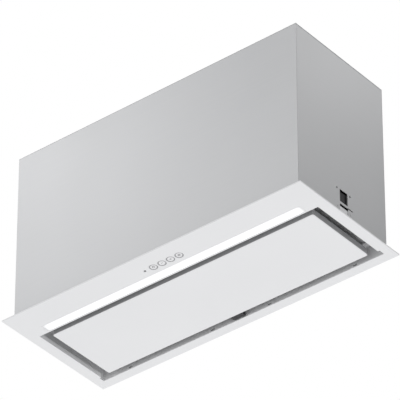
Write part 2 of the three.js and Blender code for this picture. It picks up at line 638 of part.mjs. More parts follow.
function voluteWall() {
  const outline = [...volutePath(SHEET), ...volutePath(0).reverse()];
  return mesh("volute_wall", slab("x", outline, [-VOLUTE_X, VOLUTE_X]), FINISH.greyPlastic);
}

function voluteSide(name, side) {
  const plate = slab("x", volutePath(SHEET), [VOLUTE_X + SEAM, VOLUTE_X + SEAM + SHEET], [
    circle([0, 0], INLET_RADIUS, 32),
  ]);
  return mesh(name, side > 0 ? plate : plate.mirror([1, 0, 0]), FINISH.greyPlastic);
}

// Rounded inlet lip on the side away from the motor
function inletRing() {
  const face = -(VOLUTE_X + 2 * SEAM + SHEET);
  const section = (x) => circle([0, 0], x, 32);
  const wide = slab("x", section(INLET_LIP.radius), [face - SHEET, face], [section(INLET_RADIUS)]);
  const mouth = slab("x", section(INLET_RADIUS + INLET_LIP.wall), [face - INLET_LIP.height, face - SHEET / 2], [
    section(INLET_RADIUS),
  ]);
  return mesh("inlet_ring", wide.add(mouth), FINISH.greyPlastic);
}

// Drum of forward-curved blades between two rings, on a spoked web and a hub
function impeller() {
  const halfWidth = IMPELLER_WIDTH / 2;
  const inner = IMPELLER_RADIUS - BLADE.chord;
  const ringSection = [circle([0, 0], IMPELLER_RADIUS, 30), [circle([0, 0], inner, 30)]];
  const pieces = [-1, 0, 1].map((place) => {
    const x = place * (halfWidth - IMPELLER_RING / 2);
    return slab("x", ringSection[0], [x - IMPELLER_RING / 2, x + IMPELLER_RING / 2], ringSection[1]);
  });
  const bladeBar = [-halfWidth + IMPELLER_RING / 2, halfWidth - IMPELLER_RING / 2];
  const chord = [-BLADE.chord / 2 + BLADE.inset[0], BLADE.chord / 2 - BLADE.inset[1]];
  for (let i = 0; i < BLADE.count; i++) {
    const blade = new THREE.BoxGeometry(bladeBar[1] - bladeBar[0], chord[1] - chord[0], BLADE.thickness);
    blade.rotateX(BLADE.lean).translate(0, IMPELLER_RADIUS - BLADE.chord / 2, 0);
    pieces.push(toSolid(blade.rotateX((2 * Math.PI * i) / BLADE.count)));
  }
  pieces.push(rod("x", HUB.radius, [-HUB.width / 2, HUB.width / 2]));
  for (let i = 0; i < HUB.spokes; i++) {
    const spoke = new THREE.BoxGeometry(HUB.web, inner + SINK, HUB.spokeWidth);
    pieces.push(toSolid(spoke.translate(0, (inner + SINK) / 2, 0).rotateX((2 * Math.PI * i) / HUB.spokes)));
  }
  const bore = rod("x", SHAFT_RADIUS + SEAM, [-HUB.width, HUB.width]);
  return mesh("impeller", joined(pieces).subtract(bore), FINISH.blackPlastic);
}

const MOTOR_FACE = HUB.width / 2 + HUB.fromMotor;

function motor() {
  const body = rod("x", MOTOR.radius, [MOTOR_FACE, MOTOR_FACE + MOTOR.length]);
  const end = MOTOR_FACE + MOTOR.length;
  const cap = rod("x", MOTOR.cap, [end - SINK, end + MOTOR.capLength]);
  const bore = rod("x", SHAFT_RADIUS + RUN, [MOTOR_FACE - PAST, MOTOR_FACE + MOTOR.into]);
  return mesh("motor", body.add(cap).subtract(bore), FINISH.greyPlastic);
}

function motorShaft() {
  const shaft = rod("x", SHAFT_RADIUS, [-HUB.width / 2 - PIN_PROUD, MOTOR_FACE + MOTOR.into - PIN_PROUD]);
  return mesh("motor_shaft", shaft, FINISH.steelPin);
}

// Ring on the side plate, with arms in to a clamp round the motor
function motorBracket() {
  const face = VOLUTE_X + 2 * SEAM + SHEET;
  const x = [face, face + MOTOR_RING.thickness];
  const clampInner = MOTOR.radius + FIT;
  const clampOuter = clampInner + MOTOR_RING.clamp;
  const clampEnd = x[1] + MOTOR_RING.clampDepth;
  const pieces = [
    slab("x", circle([0, 0], MOTOR_RING.outer, 32), x, [circle([0, 0], MOTOR_RING.inner, 32)]),
    slab("x", circle([0, 0], clampOuter, 32), [x[0], clampEnd], [circle([0, 0], clampInner, 32)]),
  ];
  for (let i = 0; i < MOTOR_RING.arms; i++) {
    const length = MOTOR_RING.inner - clampOuter + 4;
    const arm = new THREE.BoxGeometry(x[1] - x[0], length, MOTOR_RING.armWidth);
    arm.translate((x[0] + x[1]) / 2, clampOuter - 2 + length / 2, 0);
    pieces.push(toSolid(arm.rotateX((2 * Math.PI * (i + 0.25)) / MOTOR_RING.arms)));
  }
  return mesh("motor_bracket", joined(pieces), FINISH.steelPin);
}

// Motor capacitor, clipped upright to the outlet neck's front wall
function capacitor() {
  const y = TONGUE_Y - SHEET - CAPACITOR.radius - FIT;
  const top = VOLUTE_TOP - CAPACITOR.belowLid;
  const can = rod("z", CAPACITOR.radius, [top - CAPACITOR.length, top], [0, y, 0]);
  return mesh("motor_capacitor", can, FINISH.whitePaint);
}

function blower() {
  return group([0, AXIS_Y, AXIS_Z], [
    voluteWall(),
    voluteSide("volute_side_left", -1),
    voluteSide("volute_side_right", 1),
    inletRing(),
    impeller(),
    motor(),
    motorShaft(),
    motorBracket(),
    capacitor(),
  ]);
}

// ---------------------------------------------------------------- outlet, round the duct's middle on the lid

function outletCollar() {
  const stopZ = FLAP_AXIS_ABOVE_LID - FLAP.thickness / 2 - RUN;
  const profile = [
    [DUCT_INNER, SEAM],
    [DUCT_OUTER + OUTLET_FLANGE, SEAM],
    [DUCT_OUTER + OUTLET_FLANGE, SEAM + SHEET],
    [DUCT_OUTER, SEAM + SHEET],
    [DUCT_OUTER, OUTLET_HEIGHT],
    [DUCT_INNER, OUTLET_HEIGHT],
    [DUCT_INNER, stopZ],
    [DUCT_INNER - FLAP_STOP, stopZ],
    [DUCT_INNER, stopZ - FLAP_STOP],
  ];
  const through = [-DUCT_OUTER - PAST, DUCT_OUTER + PAST];
  const bore = rod("x", FLAP_PIN_RADIUS + SEAM, through, [0, 0, FLAP_AXIS_ABOVE_LID], 12);
  return mesh("outlet_collar", turned(profile, 40).subtract(bore), FINISH.blackPlastic);
}

// Half disc on the side +1 (rear) or -1 (front) of the pin, with two sleeves that take turns with the other's
function flap(name, side) {
  const open = FLAP_PIN_RADIUS + RUN + FLAP.sleeve + FLAP.slot;
  const start = Math.asin(open / FLAP_RADIUS);
  const outline = arc([0, 0], FLAP_RADIUS, start, Math.PI - start, 20).map(([x, y]) => [x, side * y]);
  const half = FLAP.thickness / 2;
  const plate = slab("z", side > 0 ? outline : outline.reverse(), [-half, half]);
  const quarter = FLAP_RADIUS / 2 - FLAP.play;
  const sleeves = [
    [FLAP.play, quarter + FLAP.play],
    [-2 * quarter + 3 * FLAP.play, -quarter - 2 * FLAP.play],
  ];
  const tab = open + 2 * FLAP.thickness;
  const pieces = [plate];
  for (const [from, to] of sleeves) {
    const span = side > 0 ? [from, to] : [-to, -from];
    pieces.push(rod("x", FLAP_PIN_RADIUS + RUN + FLAP.sleeve, span, [0, 0, 0], 16));
    pieces.push(block(span, side > 0 ? [0, tab] : [-tab, 0], [-half, half]));
  }
  const bore = rod("x", FLAP_PIN_RADIUS + RUN, [-DUCT_OUTER, DUCT_OUTER], [0, 0, 0], 16);
  return mesh(name, joined(pieces).subtract(bore), FINISH.greyPlastic);
}

function outlet() {
  const pinEnd = DUCT_OUTER + PIN_PROUD;
  const pin = rod("x", FLAP_PIN_RADIUS, [-pinEnd, pinEnd], [0, 0, 0], 12);
  return group([0, OUTLET_Y, CASING_TOP], [
    outletCollar(),
    group([0, 0, FLAP_AXIS_ABOVE_LID], [
      mesh("flap_pin", pin, FINISH.steelPin),
      flap("flap_front", -1),
      flap("flap_rear", 1),
    ]),
  ]);
}

// ---------------------------------------------------------------- wiring

function wiringBox() {
  const { width, depth, height, wall } = WIRING_BOX;
  const top = -SEAM;
  const outer = block([-width / 2, width / 2], [-depth / 2, depth / 2], [top - height, top]);
  const hollow = block(
    [-width / 2 + wall, width / 2 - wall],
    [-depth / 2 + wall, depth / 2 - wall],
    [top - height - PAST, top - wall],
  );
  const glandHole = rod("z", GLAND.bodyRadius + FIT, [top - wall - PAST, top + PAST], [0, GLAND.y, 0]);
  const coverTop = top - height - SEAM;
  const cover = block([-width / 2, width / 2], [-depth / 2, depth / 2], [coverTop - wall, coverTop]);

  const blockBase = top - height + FIT;
  const blockFront = -depth / 2 + BOX_MARGIN;
  const terminals = block(
    [-TERMINAL_BLOCK.width / 2, TERMINAL_BLOCK.width / 2],
    [blockFront, blockFront + TERMINAL_BLOCK.depth],
    [blockBase, blockBase + TERMINAL_BLOCK.height],
  );
  const pitch = TERMINAL_BLOCK.width / TERMINAL_BLOCK.poles;
  const entries = Array.from({ length: TERMINAL_BLOCK.poles }, (_, i) => {
    const x = -TERMINAL_BLOCK.width / 2 + (i + 0.5) * pitch;
    const y = blockFront + TERMINAL_BLOCK.depth / 2;
    const entry = [blockBase + TERMINAL_BLOCK.floor, blockBase + TERMINAL_BLOCK.height + PAST];
    return rod("z", TERMINAL_BLOCK.bore, entry, [x, y, 0], 10);
  });
  const driverRear = depth / 2 - BOX_MARGIN;
  const driver = block([-DRIVER.width / 2, DRIVER.width / 2], [driverRear - DRIVER.depth, driverRear], [
    blockBase,
    blockBase + DRIVER.height,
  ]);
  return group([WIRING_BOX_X, 0, LID_UNDER], [
    mesh("wiring_box", cutFrom(outer, [hollow, glandHole]), FINISH.greyPlastic),
    mesh("wiring_box_cover", cover, FINISH.greyPlastic),
    mesh("terminal_block", cutFrom(terminals, entries), FINISH.whitePaint),
    mesh("lamp_driver", driver, FINISH.whitePaint),
    cableGland(),
  ]);
}

// Hexagonal head on the lid and a threaded body through the lid into the wiring box
function cableGland() {
  const head = slab("z", circle([0, 0], GLAND.hexRadius, 6), [SHEET + SEAM, SHEET + GLAND.above]);
  const body = rod("z", GLAND.bodyRadius, [-GLAND.below, SHEET + GLAND.above / 2]);
  const bore = rod("z", GLAND.bore, [-GLAND.below - PAST, SHEET + GLAND.above + PAST]);
  const gland = mesh("cable_gland", head.add(body).subtract(bore), FINISH.blackPlastic);
  gland.position.set(0, GLAND.y, 0);
  return gland;
}

// ---------------------------------------------------------------- side clips

// Right-hand clip: bracket behind the window, pin, and the tongue that swings out through the window
function sideClip(name, side) {
  const halfTongue = CLIP.width / 2;
  const ears = halfTongue + RUN + CLIP_BRACKET.ear;
  const wall = CASING_X - SHEET - SEAM - CLIP_PIN_X;
  const back = -CLIP_BRACKET.depth + wall;
  const top = CLIP_BRACKET.height;
  const low = -CLIP.aboveSill;
  const shell = block([back, wall], [-ears, ears], [low, top]);
  const hollowY = [-halfTongue - RUN, halfTongue + RUN];
  const hollow = block([back + SHEET, wall + PAST], hollowY, [low - PAST, top + PAST]);
  const earBore = rod("y", CLIP.pinRadius + SEAM, [-ears - PAST, ears + PAST], [0, 0, 0], 12);
  const feet = [-1, 1].map((end) => {
    const y = [end * (ears - SINK), end * (ears + CLIP_BRACKET.foot)].sort((a, b) => a - b);
    return block([wall - SHEET, wall], y, [low, top]);
  });
  const bracket = cutFrom(joined([shell, ...feet]), [hollow, earBore]);

  const pin = rod("y", CLIP.pinRadius, [-ears, ears], [0, 0, 0], 12);

  const sleeveRadius = CLIP.pinRadius + RUN + CLIP.sleeve;
  const sleeve = rod("y", sleeveRadius, [-halfTongue, halfTongue], [0, 0, 0], 16);
  const bladeX = [sleeveRadius - CLIP.thickness, sleeveRadius];
  const blade = block(bladeX, [-halfTongue, halfTongue], [0, CLIP.length]);
  const bore = rod("y", CLIP.pinRadius + RUN, [-halfTongue - PAST, halfTongue + PAST], [0, 0, 0], 16);
  const tongue = sleeve.add(blade).subtract(bore);

  const place = (solid) => (side > 0 ? solid : solid.mirror([1, 0, 0]));
  return group([side * CLIP_PIN_X, CLIP_WINDOW.y, CLIP_PIN_Z], [
    mesh(`clip_bracket_${name}`, place(bracket), FINISH.steelPin),
    mesh(`clip_pin_${name}`, place(pin), FINISH.steelPin),
    mesh(`side_clip_${name}`, place(tongue), FINISH.blackPlastic),
  ]);
}

// ---------------------------------------------------------------- the hood

const hood = new THREE.Group();
hood.name = "canopy_range_hood";
hood.add(
  frontPanel(),
  rearPanel(),
  sidePanel("left_side_panel", -1),
  sidePanel("right_side_panel", 1),
  topPanel(),
  flangeFrame(),
  inletCollar(),
  suctionPanel(),
  panelStiffener(),
  hingeBracket("hinge_bracket_left", -1),
  hingeBracket("hinge_bracket_right", 1),
  hingePin("hinge_pin_left", -1),
  hingePin("hinge_pin_right", 1),
  ...catchParts(),
  lampDiffuser(),
  lampBoard(),
  lampHousing(),
  ...BUTTONS_X.map((x, i) => button(i + 1, x)),
  indicatorLens(),
  controlBoard(),
  controlCase(),
  filter("left", -1),
  filter("right", 1),
  blower(),
  outlet(),
  wiringBox(),
  sideClip("left", -1),
  sideClip("right", 1),
);

export default hood;
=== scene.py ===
# %% [markdown]
# # A built-in kitchen hood, seen from below
# The hood hangs in a wall cabinet, so what people see is its underside: a thin white flange with a lamp
# bar and four buttons, and a white panel that covers the opening but for a narrow slot all round. Above
# the flange stands a plain casing of folded steel sheet with a fan in it. The sizes and places all come
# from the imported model, which is loaded first and never moved. Two kinds of piece are then made: a
# plain part is given real, slightly rounded sheet edges, and a part that is seen close up is modelled
# again with more detail.

# %% Load the frame
import json
import math

import bpy
from mathutils import Matrix, Vector

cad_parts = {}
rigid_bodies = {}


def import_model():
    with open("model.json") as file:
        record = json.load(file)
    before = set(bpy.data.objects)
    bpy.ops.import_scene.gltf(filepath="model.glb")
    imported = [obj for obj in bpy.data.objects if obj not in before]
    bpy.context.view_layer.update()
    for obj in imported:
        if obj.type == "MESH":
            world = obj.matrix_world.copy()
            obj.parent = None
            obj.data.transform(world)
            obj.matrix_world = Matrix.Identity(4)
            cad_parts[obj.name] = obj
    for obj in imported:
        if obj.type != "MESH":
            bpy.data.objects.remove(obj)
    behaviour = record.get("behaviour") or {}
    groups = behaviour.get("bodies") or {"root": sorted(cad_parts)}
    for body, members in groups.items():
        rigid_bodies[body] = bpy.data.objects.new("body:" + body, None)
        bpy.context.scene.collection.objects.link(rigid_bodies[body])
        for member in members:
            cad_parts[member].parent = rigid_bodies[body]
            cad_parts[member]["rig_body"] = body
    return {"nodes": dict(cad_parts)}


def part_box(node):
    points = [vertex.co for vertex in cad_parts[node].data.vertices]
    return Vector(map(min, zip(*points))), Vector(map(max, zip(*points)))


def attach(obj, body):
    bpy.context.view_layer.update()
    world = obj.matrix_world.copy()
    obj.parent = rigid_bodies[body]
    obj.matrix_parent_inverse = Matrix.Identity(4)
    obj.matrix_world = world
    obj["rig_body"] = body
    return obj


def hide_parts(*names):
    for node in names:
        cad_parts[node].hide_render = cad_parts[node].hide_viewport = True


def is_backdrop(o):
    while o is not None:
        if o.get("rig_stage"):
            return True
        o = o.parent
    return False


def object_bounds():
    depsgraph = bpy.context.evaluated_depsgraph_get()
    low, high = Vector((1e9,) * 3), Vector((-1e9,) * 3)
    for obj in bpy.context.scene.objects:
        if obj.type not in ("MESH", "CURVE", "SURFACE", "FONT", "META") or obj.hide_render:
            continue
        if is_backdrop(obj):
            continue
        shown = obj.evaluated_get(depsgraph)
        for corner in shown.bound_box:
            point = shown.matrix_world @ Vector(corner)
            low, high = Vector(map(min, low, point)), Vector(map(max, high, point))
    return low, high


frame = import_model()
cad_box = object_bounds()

print("box in metres", [round(v, 4) for corner in cad_box for v in corner])

# %% [markdown]
# ## The camera first
# A lens of nearly 400 mm, eight metres away, draws edges that stay almost parallel, as a catalogue
# picture does. It looks up at the hood from below and from the right, so the underside, the front and
# the right side all show. A closer, wider lens would show the same sides but would make the near corner
# of the flange far too large.

# %% Camera
MM = 0.001
CAMERA_AZIMUTH = math.radians(39.0)
CAMERA_ELEVATION = math.radians(-35.93)
CAMERA_DISTANCE = 8.0
CAMERA_TARGET = Vector((3.8 * MM, 0, 199.3 * MM))
CAMERA_LENS = 387.8

toward_camera = Vector((
    math.sin(CAMERA_AZIMUTH) * math.cos(CAMERA_ELEVATION),
    -math.cos(CAMERA_AZIMUTH) * math.cos(CAMERA_ELEVATION),
    math.sin(CAMERA_ELEVATION),
))
camera = bpy.data.objects.new("camera", bpy.data.cameras.new("camera"))
bpy.context.scene.collection.objects.link(camera)
camera.data.sensor_width = 36
camera.data.lens = CAMERA_LENS
camera.data.clip_end = 100
camera.location = CAMERA_TARGET + toward_camera * CAMERA_DISTANCE
camera.rotation_mode = "QUATERNION"
camera.rotation_quaternion = (-toward_camera).to_track_quat("-Z", "Y")
bpy.context.scene.camera = camera
print("camera at", [round(v, 2) for v in camera.location])

# %% [markdown]
# ## Light and floor
# The hood is lit as in a white studio. Most of the light is a world colour that changes slowly with
# direction, which gives broad, soft reflections and no hard shadow. Two weak softboxes above add a
# gentle slope of light to the front and the right side. Area lights alone would be too bright on near
# corners and noisy in the narrow slots. The camera itself sees plain white behind the hood. A pale
# floor is laid last and far below, because the camera looks up from under the hood and must not be
# behind the floor.

# %% A helper for shader nodes
def new_node(tree, kind, inputs=None, **settings):
    """A shader node: its settings are made first, then its inputs are filled in."""
    node = tree.nodes.new("ShaderNode" + kind)
    for label, value in settings.items():
        setattr(node, label, value)
    for label, value in (inputs or {}).items():
        node.inputs[label].default_value = value
    return node


print("node helper ready")

# %% World colour by direction
FROM_FRONT_LEFT = 0.79
FROM_SIDE_RIGHT = 0.43
TO_SIDE_RIGHT = Vector((0.78, 0.62, 0.10)).normalized()
STUDIO_WHITE = (0.985, 0.99, 1.0, 1)

world = bpy.data.worlds.new("studio")
bpy.context.scene.world = world
world.use_nodes = True
sky = world.node_tree
sky.nodes.clear()
direction = new_node(sky, "TexCoord")
side_share = new_node(sky, "VectorMath", {1: TO_SIDE_RIGHT}, operation="DOT_PRODUCT")
side_range = {"From Min": -0.9, "From Max": 0.9, "To Min": FROM_FRONT_LEFT, "To Max": FROM_SIDE_RIGHT}
side_light = new_node(sky, "MapRange", side_range, interpolation_type="SMOOTHSTEP")
studio = new_node(sky, "Background", {"Color": STUDIO_WHITE})
plain_white = new_node(sky, "Background", {"Color": (1, 1, 1, 1), "Strength": 1.0})
seen = new_node(sky, "LightPath")
either = new_node(sky, "MixShader")
sky_output = new_node(sky, "OutputWorld")
sky.links.new(direction.outputs["Generated"], side_share.inputs[0])
sky.links.new(side_share.outputs["Value"], side_light.inputs["Value"])
sky.links.new(side_light.outputs["Result"], studio.inputs["Strength"])
sky.links.new(seen.outputs["Is Camera Ray"], either.inputs["Fac"])
sky.links.new(studio.outputs["Background"], either.inputs[1])
sky.links.new(plain_white.outputs["Background"], either.inputs[2])
sky.links.new(either.outputs["Shader"], sky_output.inputs["Surface"])
bpy.context.scene.view_settings.view_transform = "Standard"
print("world", FROM_FRONT_LEFT, "to", FROM_SIDE_RIGHT)

# %% Soft lights
def softbox(name, place, aim, size, power):
    """A large square lamp that the camera doesn't see."""
    lamp = bpy.data.lights.new(name, "AREA")
    lamp.size = size
    lamp.energy = power
    box = bpy.data.objects.new(name, lamp)
    bpy.context.scene.collection.objects.link(box)
    box.location = place
    box.rotation_mode = "QUATERNION"
    box.rotation_quaternion = (Vector(aim) - Vector(place)).to_track_quat("-Z", "Y")
    box.visible_camera = False


softbox("front_left_softbox", (-1.15, -1.0, 1.25), (-0.2, 0, 0.15), 0.7, 1.75)
softbox("top_right_softbox", (1.0, 0.85, 1.5), (0.3, 0, 0.3), 0.8, 1.8)

# %% [markdown]
# ## Small helpers for modelling
# An operator works on whatever is selected, so each helper starts from nothing selected. Faces and
# edges are picked by where they lie or which way they face. The other way is to pick them by number,
# and then one changed step earlier on would silently shape the wrong edge. What repeats is modelled
# once and copied to its places.

# %% Selecting and shaping
EDGE_ANGLE = math.radians(30)
SMOOTH_ANGLE = math.radians(35)
MERGE = 0.001 * MM


def only(piece):
    """Leaves edit mode and selects this one piece."""
    if bpy.context.object and bpy.context.object.mode != "OBJECT":
        bpy.ops.object.mode_set(mode="OBJECT")
    bpy.ops.object.select_all(action="DESELECT")
    piece.select_set(True)
    bpy.context.view_layer.objects.active = piece


def picked(piece, kind, test):
    """Selects the vertices, edges or faces that pass a test, and stays in edit mode."""
    only(piece)
    bpy.ops.object.mode_set(mode="EDIT")
    bpy.ops.mesh.select_mode(type=kind)
    bpy.ops.mesh.select_all(action="DESELECT")
    bpy.ops.object.mode_set(mode="OBJECT")
    mesh = piece.data
    if kind == "FACE":
        for face in mesh.polygons:
            face.select = test(face.center, face.normal)
    if kind == "EDGE":
        for edge in mesh.edges:
            first, second = (mesh.vertices[i].co for i in edge.vertices)
            edge.select = test(first, second)
    if kind == "VERT":
        for vertex in mesh.vertices:
            vertex.select = test(vertex.co)
    bpy.ops.object.mode_set(mode="EDIT")


def cube_between(name, low, high):
    """A block from one corner to the other, with its place in its mesh."""
    low, high = Vector(low), Vector(high)
    if bpy.context.object:
        only(bpy.context.object)
    bpy.ops.mesh.primitive_cube_add(size=1, location=(low + high) / 2)
    piece = bpy.context.object
    piece.scale = high - low
    piece.name = name
    only(piece)
    bpy.ops.object.transform_apply(location=True, rotation=True, scale=True)
    return piece


def spun(name, profile, centre, axis, steps=48):
    """Turns an outline of (radius, height) points a full turn about an axis."""
    along = Vector(axis).normalized()
    across = along.orthogonal().normalized()
    points = [Vector(centre) + across * radius + along * height for radius, height in profile]
    mesh = bpy.data.meshes.new(name)
    mesh.from_pydata(points, [(i, i + 1) for i in range(len(points) - 1)], [])
    piece = bpy.data.objects.new(name, mesh)
    bpy.context.scene.collection.objects.link(piece)
    only(piece)
    bpy.ops.object.mode_set(mode="EDIT")
    bpy.ops.mesh.select_all(action="SELECT")
    bpy.ops.mesh.spin(steps=steps, angle=2 * math.pi, center=centre, axis=along)
    bpy.ops.mesh.select_all(action="SELECT")
    bpy.ops.mesh.remove_doubles(threshold=MERGE)
    bpy.ops.mesh.normals_make_consistent(inside=False)
    bpy.ops.object.mode_set(mode="OBJECT")
    return piece


def bevelled(piece, width, segments=3):
    """Rounds every edge that is clearly an edge."""
    only(piece)
    bevel = piece.modifiers.new("rounded edges", "BEVEL")
    bevel.width = width
    bevel.segments = segments
    bevel.limit_method = "ANGLE"
    bevel.angle_limit = EDGE_ANGLE
    bpy.ops.object.modifier_apply(modifier=bevel.name)
    return piece


# %% Copying, joining and finishing
def moved_copy(piece, matrix):
    """A copy with its own mesh, carried to another place."""
    mesh = piece.data.copy()
    mesh.transform(matrix)
    made = bpy.data.objects.new(piece.name, mesh)
    bpy.context.scene.collection.objects.link(made)
    return made


def copies(model, matrices):
    """A model copied to some places and then removed."""
    made = [moved_copy(model, matrix) for matrix in matrices]
    bpy.data.objects.remove(model)
    return made


def shifts(places):
    """The matrices that carry a model from the origin to some places."""
    return [Matrix.Translation(place) for place in places]


def turns(middle, count, axis, first=0.0):
    """The matrices that carry a model round an axis through a middle, in even steps."""
    shares = [(i + first) / count for i in range(count)]
    return [Matrix.Translation(middle) @ Matrix.Rotation(2 * math.pi * share, 4, axis) for share in shares]


def corners(node, inset, z):
    """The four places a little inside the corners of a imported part, at a height."""
    low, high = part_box(node)
    return [Vector((x, y, z)) for x in (low.x + inset, high.x - inset)
            for y in (low.y + inset, high.y - inset)]


def upright_axis(node):
    """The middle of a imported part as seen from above, at height 0."""
    low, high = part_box(node)
    return Vector(((low.x + high.x) / 2, (low.y + high.y) / 2, 0))


def joined(pieces):
    """Several pieces made one object."""
    only(pieces[0])
    for piece in pieces:
        piece.select_set(True)
    if len(pieces) > 1:
        bpy.ops.object.join()
    return bpy.context.object


def finished(piece, name, body, material, replaced=()):
    """Names a piece, gives it its finish, and puts it on its body."""
    only(piece)
    bpy.ops.object.transform_apply(location=True, rotation=True, scale=True)
    bpy.ops.object.shade_smooth_by_angle(angle=SMOOTH_ANGLE)
    even = piece.modifiers.new("flat faces stay flat", "WEIGHTED_NORMAL")
    even.keep_sharp = True
    even.weight = 100
    bpy.ops.object.modifier_apply(modifier=even.name)
    piece.name = name
    piece.data.materials.clear()
    piece.data.materials.append(material)
    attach(piece, body)
    if replaced:
        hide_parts(*replaced)
    return piece


only(camera)
print("helpers ready")

# %% [markdown]
# ## Effects that several finishes share
# Each effect is a node group that gives back only a mask or a height, and the finish itself decides
# what to do with it. *Brushed grain* is noise that a finish stretches along one direction. *Slow drift*
# is large, weak noise, because no real surface has exactly one colour. *Fine texture* is the tiny
# unevenness of paint or a moulded skin. *Edge wear and highlight* compares the true normal with a
# softened one, and the two differ only close to an edge. The finishes lay an edge colour over it that is
# partly wear and partly a painted highlight, and on the lid a painted shadow line. *Zinc spangle* is a
# mosaic of flat crystals, as on galvanised sheet.

# %% Node groups
def effect(name, inputs, outputs):
    """An empty node group with named numbers going in and coming out."""
    group = bpy.data.node_groups.new(name, "ShaderNodeTree")
    for label, value in inputs.items():
        kind = "NodeSocketVector" if label == "Vector" else "NodeSocketFloat"
        made = group.interface.new_socket(label, in_out="INPUT", socket_type=kind)
        if value is not None:
            made.default_value = value
    for label in outputs:
        group.interface.new_socket(label, in_out="OUTPUT", socket_type="NodeSocketFloat")
    return group, group.nodes.new("NodeGroupInput"), group.nodes.new("NodeGroupOutput")


def noise_effect(name, scale, detail, low, high):
    """Noise on a given vector, spread so that it uses the whole range from 0 to 1."""
    group, given, result = effect(name, {"Vector": None, "Scale": scale}, ["Mask"])
    noise = new_node(group, "TexNoise", {"Detail": detail})
    group.links.new(given.outputs["Vector"], noise.inputs["Vector"])
    group.links.new(given.outputs["Scale"], noise.inputs["Scale"])
    spread = new_node(group, "MapRange", {"From Min": low, "From Max": high})
    group.links.new(noise.outputs["Fac"], spread.inputs["Value"])
    group.links.new(spread.outputs["Result"], result.inputs["Mask"])
    return group


brushed_grain = noise_effect("brushed grain", 1.0, 3.0, 0.3, 0.7)
slow_drift = noise_effect("slow drift", 4.0, 2.0, 0.35, 0.65)
fine_texture = noise_effect("fine texture", 900.0, 4.0, 0.3, 0.7)

# Edge mask. The edge colour laid over it is partly wear and partly a painted highlight, and on the lid a
# painted shadow line.
edge_wear_and_highlight, edge_given, edge_result = effect("edge wear and highlight", {"Radius": 0.001, "Strength": 4.0}, ["Mask"])
softened = new_node(edge_wear_and_highlight, "Bevel", samples=4)
true_face = new_node(edge_wear_and_highlight, "NewGeometry")
agreement = new_node(edge_wear_and_highlight, "VectorMath", operation="DOT_PRODUCT")
difference = new_node(edge_wear_and_highlight, "Math", {0: 1.0}, operation="SUBTRACT")
strengthened = new_node(edge_wear_and_highlight, "Math", operation="MULTIPLY", use_clamp=True)
edge_wear_and_highlight.links.new(edge_given.outputs["Radius"], softened.inputs["Radius"])
edge_wear_and_highlight.links.new(softened.outputs["Normal"], agreement.inputs[0])
edge_wear_and_highlight.links.new(true_face.outputs["Normal"], agreement.inputs[1])
edge_wear_and_highlight.links.new(agreement.outputs["Value"], difference.inputs[1])
edge_wear_and_highlight.links.new(difference.outputs["Value"], strengthened.inputs[0])
edge_wear_and_highlight.links.new(edge_given.outputs["Strength"], strengthened.inputs[1])
edge_wear_and_highlight.links.new(strengthened.outputs["Value"], edge_result.inputs["Mask"])

spangle, spangle_given, spangle_result = effect("zinc spangle", {"Vector": None, "Scale": 90.0}, ["Mask"])
crystals = new_node(spangle, "TexVoronoi", {"Randomness": 1.0})
crystal_tone = new_node(spangle, "SeparateColor")
spangle.links.new(spangle_given.outputs["Vector"], crystals.inputs["Vector"])
spangle.links.new(spangle_given.outputs["Scale"], crystals.inputs["Scale"])
spangle.links.new(crystals.outputs["Color"], crystal_tone.inputs["Color"])
spangle.links.new(crystal_tone.outputs["Red"], spangle_result.inputs["Mask"])
print("effects", [g.name for g in bpy.data.node_groups])

# %% [markdown]
# ## One way to mix a finish
# Every finish here is a base colour that drifts between two close tones, a roughness that follows the
# grain, and a slight bump from the same grain. Edges may get an edge colour: a lighter one is partly
# wear and partly a painted highlight, and the lid's near black one is a painted shadow line. A single
# flat colour would be quicker, but it looks like a drawing as soon as the piece is seen close to. The
# grain can be noise, which suits paint and plastic, or stretched noise for brushed metal, or crystals
# for galvanised sheet.

# %% Two small helpers for finishes
FACTOR, FIRST, SECOND, MIXED = 0, 6, 7, 2


def mixed(tree, share, under, over):
    """One colour laid over another by a mask. A Mix node's colour sockets are reached by number."""
    mix = new_node(tree, "Mix", data_type="RGBA")
    mix.inputs[SECOND].default_value = (*over, 1)
    tree.links.new(share, mix.inputs[FACTOR])
    tree.links.new(under, mix.inputs[FIRST])
    return mix.outputs[MIXED]


def opened(material):
    """A finish's node tree, its shader, and its place on the piece split into X, Y and Z."""
    tree = material.node_tree
    shader = next(node for node in tree.nodes if node.type == "BSDF_PRINCIPLED")
    place = new_node(tree, "TexCoord")
    axes = new_node(tree, "SeparateXYZ")
    tree.links.new(place.outputs["Object"], axes.inputs["Vector"])
    return tree, shader, axes


print("mix helpers ready")

# %% Mixing a finish
GRAIN_DEPTH = 0.04 * MM
GRAIN_SHARE = 0.45


